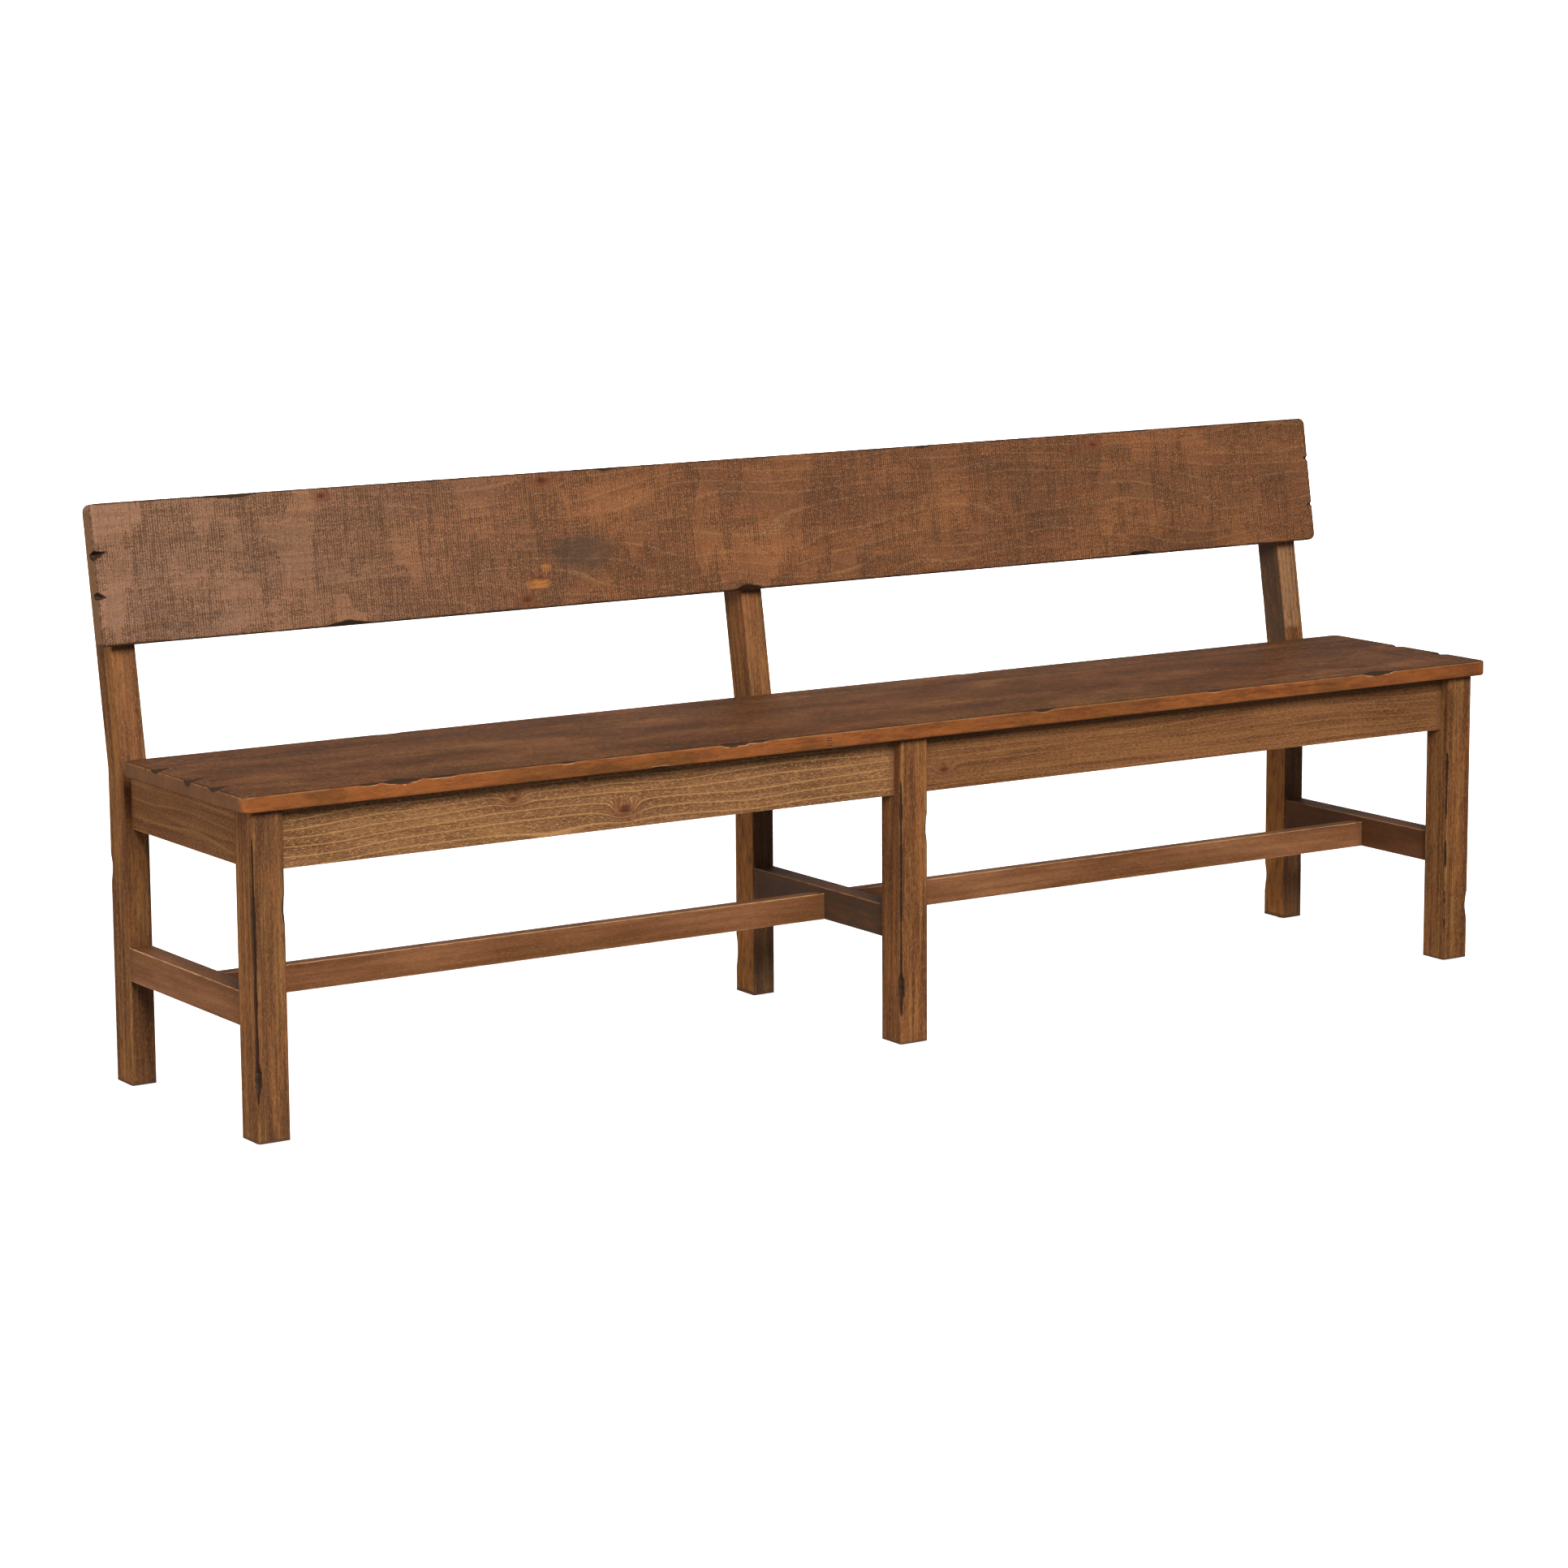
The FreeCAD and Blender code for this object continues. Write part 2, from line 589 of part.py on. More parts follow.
for name, bay in bays.items():
    low, high = bay["rear_rail"]
    screw_lines = [f"{low} + block_screw_place", f"{high} - block_screw_place"]
    screws = [(line, "block_middle") for line in screw_lines]
    front_apron = make_long_piece(
        f"front_apron_{name}", "apron", bay["apron"],
        "apron_front", "apron_bottom", "apron_thickness", "apron_height", apron_dowel_levels,
    )
    front_apron.drill("Y", "apron_back", -1, screws, "block_screw_hole", "block_pilot")
    rear_rail = make_long_piece(
        f"rear_rail_{name}", "rear_rail", bay["rear_rail"],
        "rear_rail_front", "apron_bottom", "apron_thickness", "apron_height", apron_dowel_levels,
    )
    rear_rail.drill("Y", "rear_rail_front", 1, screws, "block_screw_hole", "block_pilot")
    make_long_piece(
        f"long_stretcher_{name}", "long_stretcher", bay["stretcher"], "long_front", "stretcher_lift",
        "long_stretcher_thickness", "long_stretcher_height", long_dowel_levels,
    )

for kind, pins in dowels.items():
    group(f"{kind}_dowels", pins)

# Corner blocks, one shape turned into each corner of the two bays
block_labels = ["front_left_end", "front_left_middle", "rear_left_middle", "rear_left_end"]
block_labels += ["front_right_middle", "front_right_end", "rear_right_end", "rear_right_middle"]
for label, (x, y, angle) in zip(block_labels, block_corners):
    block = Member(f"corner_block_{label}")
    block.body.Placement = FreeCAD.Placement(FreeCAD.Vector(), turned(z_axis, angle))
    place(block.body, x, y, "block_bottom")
    trapezoid = [("block_clip", "0"), ("block_reach", "0"), ("0", "block_reach"), ("0", "block_clip")]
    block.pad("Z", trapezoid, "block_height")
    side_spot = [("block_screw_place", "block_height / 2")]
    for axis in "YX":
        block.drill(axis, "0", 1, side_spot, "block_screw_hole", "block_reach")
        block.drill(axis, "block_screw_grip", 1, side_spot, "block_head_hole", "block_reach")
    seat_spot = [("seat_screw_place", "seat_screw_place")]
    block.drill("Z", "0", 1, seat_spot, "block_screw_hole", "block_height")
    block.drill("Z", "0", 1, seat_spot, "block_head_hole", "seat_screw_recess")


# Screws: a round shank with a pointed end and a flat-bottomed head with a six-sided socket
def make_screw(label, kind, length):
    shank = doc.addObject("Part::Cylinder", f"{label}_shank")
    bind(shank, "Radius", f"{kind}_diameter / 2")
    bind(shank, "Height", f"{length} - screw_tip_length")
    tip = doc.addObject("Part::Cone", f"{label}_tip")
    bind(tip, "Radius1", f"{kind}_diameter / 2")
    bind(tip, "Radius2", "screw_tip_width / 2")
    bind(tip, "Height", "screw_tip_length")
    bind(tip, "Placement.Base.z", f"{length} - screw_tip_length")
    head = doc.addObject("Part::Cylinder", f"{label}_head")
    bind(head, "Radius", f"{kind}_head_diameter / 2")
    bind(head, "Height", f"{kind}_head_height")
    bind(head, "Placement.Base.z", f"-{kind}_head_height")
    whole = doc.addObject("Part::MultiFuse", f"{label}_whole")
    whole.Shapes = [head, shank, tip]
    socket = doc.addObject("Part::Prism", f"{label}_socket")
    socket.Polygon = 6
    bind(socket, "Circumradius", f"{kind}_socket_width / 2")
    bind(socket, "Height", f"{kind}_socket_depth")
    bind(socket, "Placement.Base.z", f"-{kind}_head_height")
    screw = doc.addObject("Part::Cut", label)
    screw.Base = whole
    screw.Tool = socket
    return screw


def screw_at(screw, rotation, x, y, z):
    link = doc.addObject("App::Link", f"{screw.Name}_set")
    link.LinkedObject = screw
    link.Placement = FreeCAD.Placement(FreeCAD.Vector(), rotation)
    place(link, x, y, z)
    return link


block_screw = make_screw("short_screw", "block_screw", "block_screw_grip + block_screw_bite")
seat_screw = make_screw("long_screw", "block_screw", "block_height - seat_screw_recess + seat_screw_bite")
post_screw = make_screw("back_screw", "post_screw", "post_grip + post_screw_bite")

block_screws = []
seat_screws = []
for corner, (x, y) in zip(block_corners, seat_screw_spots):
    turn = turned(z_axis, corner[2])
    into_front = turn.multiply(turned(x_axis, 90))
    into_side = turn.multiply(turned(y_axis, -90))
    front_x, front_y = turn_place(corner, "block_screw_place", "block_screw_grip")
    side_x, side_y = turn_place(corner, "block_screw_grip", "block_screw_place")
    block_screws.append(screw_at(block_screw, into_front, front_x, front_y, "block_middle"))
    block_screws.append(screw_at(block_screw, into_side, side_x, side_y, "block_middle"))
    seat_screws.append(screw_at(seat_screw, FreeCAD.Rotation(), x, y, "block_bottom + seat_screw_recess"))
post_screws = []
for spec in frames.values():
    for rise in post_screw_rises:
        y = f"rear_face + ({rise}) * sin(back_lean) + post_grip * cos(back_lean)"
        z = f"bend_level + ({rise}) * cos(back_lean) - post_grip * sin(back_lean)"
        link = screw_at(post_screw, turned(x_axis, 1), spec["x"], y, z)
        bind(link, "Placement.Rotation.Angle", "90 - back_lean")
        post_screws.append(link)
group("corner_block_screws", block_screws)
group("seat_screws", seat_screws)
group("back_board_screws", post_screws)

# Glides: a flat-bottomed button under each leg, held by a nail
nails = []
leg_lines = {"front": "front_face + front_leg_depth / 2", "rear": "rear_face + rear_leg_depth / 2"}
for row, line in leg_lines.items():
    for name, spec in frames.items():
        glide = doc.addObject("PartDesign::Body", f"glide_{row}_{name}")
        glide.Label = f"glide_{row}_{name}"
        nodes.append(glide)
        place(glide, spec["x"], line, "0")
        button = glide.newObject("PartDesign::AdditiveCylinder", "Button")
        bind(button, "Radius", "glide_diameter / 2")
        bind(button, "Height", "glide_height")
        doc.recompute()
        rim = [
            f"Edge{i}"
            for i, edge in enumerate(button.Shape.Edges, 1)
            if isinstance(edge.Curve, Part.Circle) and edge.CenterOfMass.z < touch
        ]
        rounding = glide.newObject("PartDesign::Fillet", "Rounding")
        rounding.Base = (button, rim)
        bind(rounding, "Radius", "glide_rounding")
        doc.recompute()
        socket = glide.newObject("PartDesign::SubtractiveCylinder", "NailHole")
        bind(socket, "Radius", "nail_hole / 2")
        bind(socket, "Height", "nail_glide_hole")
        bind(socket, "Placement.Base.z", "glide_height - nail_glide_hole")
        nail = doc.addObject("Part::Cylinder", "glide_nail")
        bind(nail, "Radius", "nail_diameter / 2")
        bind(nail, "Height", "nail_leg_depth + nail_glide_depth")
        place(nail, spec["x"], line, "leg_foot - nail_glide_depth")
        nails.append(nail)
group("glide_nails", nails)

doc.recompute()
for thing in doc.Objects:
    if {"Invalid", "Error"} & set(thing.State):
        raise RuntimeError(f"{thing.Label} did not build: {thing.State}")
for node in nodes:
    if node.Shape.isNull() or not node.Shape.isValid():
        raise RuntimeError(f"{node.Label} has no sound shape")
os.makedirs("parts", exist_ok=True)
for node in nodes:
    node.Shape.exportStep(f"parts/{node.Label}.step")
print(len(nodes), "nodes")
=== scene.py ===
import json
import math
import bmesh
import bpy
from mathutils import Matrix, Vector, noise


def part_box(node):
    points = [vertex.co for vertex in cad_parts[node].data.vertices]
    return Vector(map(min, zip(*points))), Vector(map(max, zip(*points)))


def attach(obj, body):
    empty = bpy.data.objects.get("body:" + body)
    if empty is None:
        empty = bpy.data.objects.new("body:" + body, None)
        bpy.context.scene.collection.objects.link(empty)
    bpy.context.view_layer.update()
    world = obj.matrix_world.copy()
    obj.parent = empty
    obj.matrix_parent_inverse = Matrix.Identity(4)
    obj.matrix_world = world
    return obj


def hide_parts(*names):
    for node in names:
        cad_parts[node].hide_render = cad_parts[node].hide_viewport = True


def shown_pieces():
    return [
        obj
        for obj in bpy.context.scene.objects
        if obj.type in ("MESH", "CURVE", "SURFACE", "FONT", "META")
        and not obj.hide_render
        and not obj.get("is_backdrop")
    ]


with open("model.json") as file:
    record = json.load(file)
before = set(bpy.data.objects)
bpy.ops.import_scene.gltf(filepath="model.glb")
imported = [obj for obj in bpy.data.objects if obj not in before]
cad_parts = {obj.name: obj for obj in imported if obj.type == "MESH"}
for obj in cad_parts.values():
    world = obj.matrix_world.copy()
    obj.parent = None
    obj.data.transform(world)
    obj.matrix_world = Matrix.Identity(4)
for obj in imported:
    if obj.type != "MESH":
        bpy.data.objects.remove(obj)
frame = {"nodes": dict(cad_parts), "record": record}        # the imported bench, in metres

scene = bpy.context.scene
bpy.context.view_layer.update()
mm = 0.001
axisNames = "xyz"
# What each vertex carries for its material
markNames = ("rim", "edge", "endGrain", "hurt", "pale", "knot", "stainAndShade", "warm")
sameLevel = 0.01 * mm  # points that differ by less are level
touching = 0.1 * mm  # a point closer than this to a face lies on it
nearFace = 0.3 * mm  # a point closer than this is coloured with the face
straight = 0.999  # share of its length that an edge has along the axis it runs on
planeSlack = 1e-6  # metres within which a vertex counts as on a cutting plane
print("frame loaded:", len(frame["nodes"]), "nodes")

# Sides are written as an axis and a sign, so "y-" is the front, "z+" the top and "x-" the left.
# An arris is two sides, as in "y-z+". Places and sizes in the settings of the pieces are millimetres in
# the bench's own frame, and each kind of wear is a row of them:
# chips, gouges: arris, place along the piece, length, depth
# cracks: arris, start, stop, depth
# splits: face, end, place across, reach from the end, half width, depth, slant
# scores: face, place along, start and stop across, depth
# slits: face, place along, place across, length, half width, depth
# knots: place along, place across, size
# stains: place along, place across, reach along, reach across, strength, where minus is paler
# shade and light tints: face, start, stop, strength, where plus is painted shade and minus painted light


def inset(co, blank, side):  # how far a point lies inside one face of a blank
    axis = axisNames.index(side[0])
    return co[axis] - blank["low"][axis] if side[1] == "-" else blank["high"][axis] - co[axis]


def sink(co, side, distance):  # moves a point inwards from one face
    axis = axisNames.index(side[0])
    co[axis] += distance if side[1] == "-" else -distance


def evenly(start, stop, step):  # places inside a stretch, about a step apart
    count = max(1, round((stop - start) / step))
    return [start + (stop - start) * i / count for i in range(1, count)]


def thinned(places, least):  # drops places that crowd the one before
    kept = []
    for place in sorted(places):
        if not kept or place - kept[-1] > least:
            kept.append(place)
    return kept


def hump(t):  # smooth rise and fall between -1 and 1
    return max(0.0, 1 - t * t) ** 1.5


def sawBlank(low, high, runs):  # squared timber; runs names its long, wide and thin axes
    bm = bmesh.new()
    size = Matrix.Diagonal((*(high - low), 1))
    bmesh.ops.create_cube(bm, size=1, matrix=Matrix.Translation((low + high) / 2) @ size)
    return {"bm": bm, "low": low, "high": high, "runs": [axisNames.index(c) for c in runs]}


def roundOver(blank, wanted, radius, steps):  # rounds the edges that pass a test
    edges = [e for e in blank["bm"].edges if wanted(e)]
    bmesh.ops.bevel(
        blank["bm"], geom=edges, offset=radius, offset_type="OFFSET", segments=steps,
        profile=0.5, affect="EDGES", material=-1, clamp_overlap=True,
    )


def runsAlong(edge, axis):
    way = edge.verts[1].co - edge.verts[0].co
    return abs(way[axis]) > straight * way.length


def isSquareTo(edge, axis):
    return abs(edge.verts[0].co[axis] - edge.verts[1].co[axis]) < sameLevel


def atSeam(edge, blank, seams):  # whether an edge lies in a glued face
    return any(all(inset(v.co, blank, side) < touching for v in edge.verts) for side in seams)


def cutAcross(blank, axis, places, zone=None):  # flat cuts square to an axis, right through or in one zone
    bm = blank["bm"]
    faces = bm.faces[:]
    if zone:
        low, high = zone
        middles = [(f, f.calc_center_median()) for f in faces]
        faces = [f for f, c in middles if all(low[a] <= c[a] <= high[a] for a in range(3))]
    verts = dict.fromkeys(v for f in faces for v in f.verts)  # each once, in a steady order
    edges = dict.fromkeys(e for f in faces for e in f.edges)
    geom = [*verts, *edges, *faces]
    normal = Vector((0, 0, 0))
    normal[axis] = 1
    for place in places:
        cut = bmesh.ops.bisect_plane(bm, geom=geom, dist=planeSlack, plane_co=normal * place, plane_no=normal)
        geom = cut["geom"]


def zoneOf(blank, limits):  # box a metre wider than a blank, narrowed on some axes
    low, high = blank["low"] - Vector((1, 1, 1)), blank["high"] + Vector((1, 1, 1))
    for axis, (start, stop) in limits.items():
        low[axis], high[axis] = start, stop
    return low, high


def nearSide(blank, side, reach):  # the stretch of an axis that lies within reach of one face
    axis = axisNames.index(side[0])
    edge = blank["low"][axis] if side[1] == "-" else blank["high"][axis]
    return axis, (edge - reach, edge + reach)


def sideways(blank, face):  # the axis that crosses the timber in one of its long faces
    return next(a for a in blank["runs"][1:] if a != axisNames.index(face[0]))


# Millimetres between the mesh lines that each kind of wear needs, and the shares and margins they keep
wearLines = {
    "chip": 2, "knot": 3, "slit": 1.5, "split": 2.5, "rim": 0.4, "stretch": 1, "endMargin": 2,
    "scoreHalf": 2.6, "splitWidth": 1.5, "splitShare": 0.7, "knotReach": 2.5, "edgeShare": 0.6,
}


def wornStretches(blank, spec):  # start, stop and line step of each stretch that carries wear
    along = blank["runs"][0]
    dents = spec.get("chips", []) + spec.get("gouges", [])
    zones = [(at - length / 2, at + length / 2, wearLines["chip"]) for _, at, length, _ in dents]
    for at, _, size in spec.get("knots", []):
        reach = wearLines["knotReach"] * size
        zones.append((at - reach, at + reach, wearLines["knot"]))
    for _, at, _, length, _, _ in spec.get("slits", []):
        zones.append((at - length / 2, at + length / 2, wearLines["slit"]))
    for _, end, _, reach, _, _, _ in spec.get("splits", []):
        edge = blank["low"][along] / mm if end[1] == "-" else blank["high"][along] / mm - reach
        zones.append((edge, edge + reach, wearLines["split"]))
    return zones


def layLines(blank, spec):  # the lines that chips, cracks and knots need to show in the mesh
    bm, low, high, runs = blank["bm"], blank["low"], blank["high"], blank["runs"]
    along = runs[0]
    zones = wornStretches(blank, spec)
    wide = wearLines["scoreHalf"]
    breaks = [place * mm for zone in zones for place in zone[:2]] + spec.get("breaks", [])
    breaks += [(score[1] + side) * mm for score in spec.get("scores", []) for side in (-wide, 0, wide)]
    margin = wearLines["endMargin"] * mm
    breaks = [place for place in breaks if low[along] + margin < place < high[along] - margin]
    stops = thinned(breaks, wearLines["stretch"] * mm)
    cutAcross(blank, along, stops)
    for face, end, at, reach, half, _, slant in spec.get("splits", []):
        width = (half + abs(slant) * reach) * mm
        step = min(wearLines["splitWidth"], half * wearLines["splitShare"]) * mm
        zone = zoneOf(blank, dict([nearSide(blank, end, (reach + 1) * mm)]))
        cutAcross(blank, sideways(blank, face), evenly(at * mm - width, at * mm + width, step), zone)
    for face, at, side, length, half, _ in spec.get("slits", []):
        limits = dict([nearSide(blank, face, mm)])
        limits[along] = ((at - length) * mm, (at + length) * mm)
        places = [(side - half) * mm, side * mm, (side + half) * mm]
        cutAcross(blank, sideways(blank, face), places, zoneOf(blank, limits))
    ends = [low[along], *stops, high[along]]
    for start, stop in zip(ends, ends[1:]):
        middle = (start + stop) / 2 / mm
        step = min([spec["pitch"]] + [zone[2] for zone in zones if zone[0] < middle < zone[1]])
        cuts = round((stop - start) / (step * mm)) - 1
        if cuts > 0:
            edges = [e for e in bm.edges if runsAlong(e, along)]
            edges = [e for e in edges if start < (e.verts[0].co[along] + e.verts[1].co[along]) / 2 < stop]
            edges = [e for e in edges if e.calc_length() > (stop - start) * wearLines["edgeShare"]]
            bmesh.ops.subdivide_edges(bm, edges=edges, cuts=cuts, use_grid_fill=True)
    for axis in runs[1:]:
        span = high[axis] - low[axis]
        steps = [s * mm for s in spec["rimLines"] if s * mm < span / 2]
        places = [low[axis] + s for s in steps] + [high[axis] - s for s in steps]
        places += evenly(low[axis] + steps[-1], high[axis] - steps[-1], spec["field"] * mm)
        cutAcross(blank, axis, thinned(places, wearLines["rim"] * mm))


def addMarks(blank):  # room on each vertex for its place in the figure and its marks
    layers = blank["bm"].verts.layers
    blank["grain"] = layers.float_vector.new("grain")
    blank.update({name: layers.float.new(name) for name in markNames})


knotShape = {"length": 1.8, "swerve": 1.8}  # in its widths: how long it is, how far grain bends round it


def markFigure(blank, spec):  # the timber's own lengthways, crossways and through places, knots and spills
    knot, stainAndShade = blank["knot"], blank["stainAndShade"]
    middle = (blank["low"] + blank["high"]) / 2
    along, across, through = blank["runs"]
    shift = Vector(spec["figure"])
    for vert in blank["bm"].verts:
        co = vert.co
        place = Vector((co[along], co[across] - middle[across], co[through] - middle[through])) + shift
        for at, side, size in spec.get("knots", []):
            du = (co[along] - at * mm) / (knotShape["length"] * size * mm)
            dv = (co[across] - side * mm) / (size * mm)
            near = math.exp(-(du * du + dv * dv))
            place.y += near * knotShape["swerve"] * size * mm
            vert[knot] = max(vert[knot], near)
        for at, side, reach, rise, depth in spec.get("stains", []):
            du = (co[along] - at * mm) / (reach * mm)
            dv = (co[across] - side * mm) / (rise * mm)
            vert[stainAndShade] += depth * math.exp(-((du * du + dv * dv) ** 1.5))
        vert[blank["grain"]] = place


faceReach = {"seamWidth": 1.2, "seamDepth": 2, "bevel": 4}  # millimetres; bevels turn from the flats within 4


def markFaces(blank, spec):  # rims, ends, open seams, faces with a tint of their own, and painted shade, painted light and painted sheen on some faces
    low, high = blank["low"], blank["high"]
    along = blank["runs"][0]
    shaded = spec.get("shaded", [])
    dull = spec.get("seams", []) + shaded  # sides whose arrises show no wear
    sides = [axis + sign for axis in axisNames for sign in "-+" if axis + sign not in dull]
    flats = [s for s in sides + shaded if s[0] != axisNames[along] and s != spec.get("warmFace")]
    for vert in blank["bm"].verts:
        co = vert.co
        gaps = [min([1.0] + [inset(co, blank, s) for s in sides if s[0] == axis]) for axis in axisNames]
        vert[blank["rim"]] = sorted(gaps)[1]
        fromEnd = min(co[along] - low[along], high[along] - co[along])
        vert[blank["endGrain"]] = 1.0 if fromEnd < nearFace else 0.0
        toSeam = min([1.0] + [inset(co, blank, side) for side in spec.get("openSeams", [])])
        if high.z - co.z < faceReach["seamDepth"] * mm and toSeam < faceReach["seamWidth"] * mm:
            vert[blank["hurt"]] = 1.0
        toFlat = min([faceReach["bevel"] * mm] + [inset(co, blank, s) for s in flats])
        toFront = inset(co, blank, spec["warmFace"]) if "warmFace" in spec else 1.0
        isWarm = toFront < toFlat and co[along] > spec.get("warmFrom", -2000) * mm
        vert[blank["warm"]] = 1.0 if isWarm else 0.0
        vert[blank["edge"]] = 1.0 if min(toFront, fromEnd) < toFlat else 0.0
        # painted shade on the faces and stretches listed, and painted light where the strength is negative
        for side, start, stop, depth in spec.get("dims", []):
            if inset(co, blank, side) < nearFace and start < co[along] / mm < stop:
                vert[blank["stainAndShade"]] += depth
        # painted sheen: paler and pinker towards the left end of the back board
        if "fade" in spec:
            start, stop = spec["fade"]
            vert[blank["warm"]] = min(1.0, max(0.0, (stop - co[along] / mm) / (stop - start)))


# Length in millimetres, step of seed, roughness and octaves of what is uneven in each kind of wear
unevenness = {
    "worn": (140, 0, 1.0, 4), "chip": (24, 7, 0.9, 2), "crack": (45, 3, 1.0, 3), "gouge": (7, 5, 0.9, 3),
}
# Shares of the depth that a piece gives, the taper of a crack's ends, and reaches in millimetres
arrisWear = {
    "reach": 30, "least": 0.01, "wornShare": 0.6, "chipRagged": 0.35, "gougeRagged": 0.25,
    "crackShare": 0.95, "crackSwell": 0.6, "crackLeast": 0.8, "crackTaper": 9, "crackFrom": 0.3,
    "crackOpen": 0.8, "bruiseFrom": 1.5, "bruiseOver": 0.4, "bruiseBlur": 1.4,
    "paleHalf": 0.9, "paleFlat": 0.2,
}


def uneven(kind, place, seed, row=0):
    length, step, roughness, octaves = unevenness[kind]
    return noise.fractal(Vector((place / length, seed + step, row)), roughness, 2.0, octaves)


def arrisDepths(spec, arris, place, seed):  # how deep wear, chips and cracks go at one place on an arris
    worn = spec["wear"] * (arrisWear["wornShare"] + uneven("worn", place, seed))
    chipped = 0.0
    for name, at, length, deep in spec.get("chips", []):
        t = (place - at) / (length / 2)
        if name == arris and abs(t) < 1:
            ragged = uneven("chip", place, seed, at)
            chipped = max(chipped, deep * hump(t) * (1 + arrisWear["chipRagged"] * ragged))
    groove = 0.0
    for name, start, stop, deep in spec.get("cracks", []):
        t = (place - start) / (stop - start)
        if name == arris and 0 < t < 1:
            swell = arrisWear["crackShare"] + arrisWear["crackSwell"] * uneven("crack", place, seed, start)
            taper = min(1.0, arrisWear["crackTaper"] * t, arrisWear["crackTaper"] * (1 - t))
            groove = max(groove, deep * taper * max(arrisWear["crackLeast"], swell))
    for name, at, length, deep in spec.get("gouges", []):
        t = (place - at) / (length / 2)
        if name == arris and abs(t) < 1:
            ragged = uneven("gouge", place, seed, at)
            groove = max(groove, deep * hump(t) * (1 + arrisWear["gougeRagged"] * ragged))
    return worn, chipped, groove


def wearArris(blank, spec, arris, seed):  # knocks chips and cracks into one long arris, and wears it unevenly
    along = blank["runs"][0]
    hurt, pale = blank["hurt"], blank["pale"]
    sideA, sideB = arris[:2], arris[2:]
    spread = spec.get("spread", {})  # a chip may lie flatter over one face
    overA, overB = spread.get(sideA, 1), spread.get(sideB, 1)
    for vert in blank["bm"].verts:
        a, b = inset(vert.co, blank, sideA), inset(vert.co, blank, sideB)
        near = a / overB + b / overA
        if near > arrisWear["reach"] * mm:
            continue
        worn, chipped, groove = arrisDepths(spec, arris, vert.co[along] / mm, seed)
        for depth, flatA, flatB in ((worn, 1, 1), (chipped, overB, overA)):
            deep = max(arrisWear["least"], depth)
            reachA, reachB = deep * flatA * mm, deep * flatB * mm
            share = 1 - inset(vert.co, blank, sideA) / reachA - inset(vert.co, blank, sideB) / reachB
            if share > 0:
                sink(vert.co, sideA, share * reachA / 2)
                sink(vert.co, sideB, share * reachB / 2)
        if groove > arrisWear["crackFrom"] and a + b < groove * mm:
            level = 1 - abs(a - b) / (groove * mm)
            sink(vert.co, sideA, arrisWear["crackOpen"] * groove * level * mm)
            sink(vert.co, sideB, arrisWear["crackOpen"] * groove * level * mm)
            vert[hurt] = 1.0
        if chipped > arrisWear["bruiseFrom"]:
            inside = chipped * mm + arrisWear["bruiseOver"] * mm - near
            vert[hurt] = max(vert[hurt], min(1.0, max(0.0, inside / (arrisWear["bruiseBlur"] * mm))))
            onRim = abs(near - chipped * mm) < arrisWear["paleHalf"] * mm
            if onRim and inset(vert.co, blank, sideA) < arrisWear["paleFlat"] * mm:
                vert[pale] = 1.0


# Millimetres of the lumps in a split, then how it tapers, how steep and ragged it is, and how dark it starts
splitWear = {
    "lumpLong": 5, "lumpWide": 4, "least": 0.01, "taper": 0.6, "steep": 1.5, "ragged": 0.25, "dark": 0.55,
}


def openSplits(blank, spec):  # wedge-shaped splits that start at an end
    hurt = blank["hurt"]
    for face, end, at, reach, half, depth, slant in spec.get("splits", []):
        axis = sideways(blank, face)
        for vert in blank["bm"].verts:
            deep = inset(vert.co, blank, end) / mm
            if deep > reach:
                continue
            left = 1 - deep / reach
            side = vert.co[axis] / mm
            ragged = noise.noise(Vector((deep / splitWear["lumpLong"], at, side / splitWear["lumpWide"])))
            wedge = 1 - abs(side - at - slant * deep) / (half * left + splitWear["least"])
            if wedge <= 0:
                continue
            slope = min(1.0, splitWear["steep"] * wedge)
            dip = depth * left ** splitWear["taper"] * slope * (1 + splitWear["ragged"] * ragged)
            gap = dip * mm - inset(vert.co, blank, face)
            if gap > 0:
                sink(vert.co, face, gap)
                vert[hurt] = max(vert[hurt], min(1.0, splitWear["dark"] + splitWear["steep"] * wedge))


def openLines(blank, spec):  # saw lines square to the grain, and short glue lines along it
    along = blank["runs"][0]
    oneRow = touching / mm  # only the middle row of a line sinks
    lines = []
    for face, at, start, stop, depth in spec.get("scores", []):
        lines.append((face, at, oneRow, (start + stop) / 2, (stop - start) / 2, depth))
    for face, at, side, length, _, depth in spec.get("slits", []):
        lines.append((face, at, length / 2, side, oneRow, depth))
    for face, at, halfLong, side, halfWide, depth in lines:
        axis = sideways(blank, face)
        for vert in blank["bm"].verts:
            near = abs(vert.co[along] / mm - at) < halfLong and abs(vert.co[axis] / mm - side) < halfWide
            if near and inset(vert.co, blank, face) < touching:
                sink(vert.co, face, depth * mm)
                vert[blank["hurt"]] = 1.0


def wearTimber(blank, spec):  # lines, figure, then wear on the blank that is sawn and rounded
    layLines(blank, spec)
    addMarks(blank)
    markFigure(blank, spec)
    markFaces(blank, spec)
    across = [axisNames[a] for a in blank["runs"][1:]]
    for i, first in enumerate("-+"):
        for j, second in enumerate("-+"):
            sides = sorted([across[0] + first, across[1] + second])
            if not any(side in spec.get("seams", []) for side in sides):
                wearArris(blank, spec, "".join(sides), spec["figure"][0] + 2 * i + j)
    openSplits(blank, spec)
    openLines(blank, spec)


meshFinish = {"merge": 0.05, "slimmest": 0.02, "sharpFrom": 32}  # millimetres, and the angle in degrees


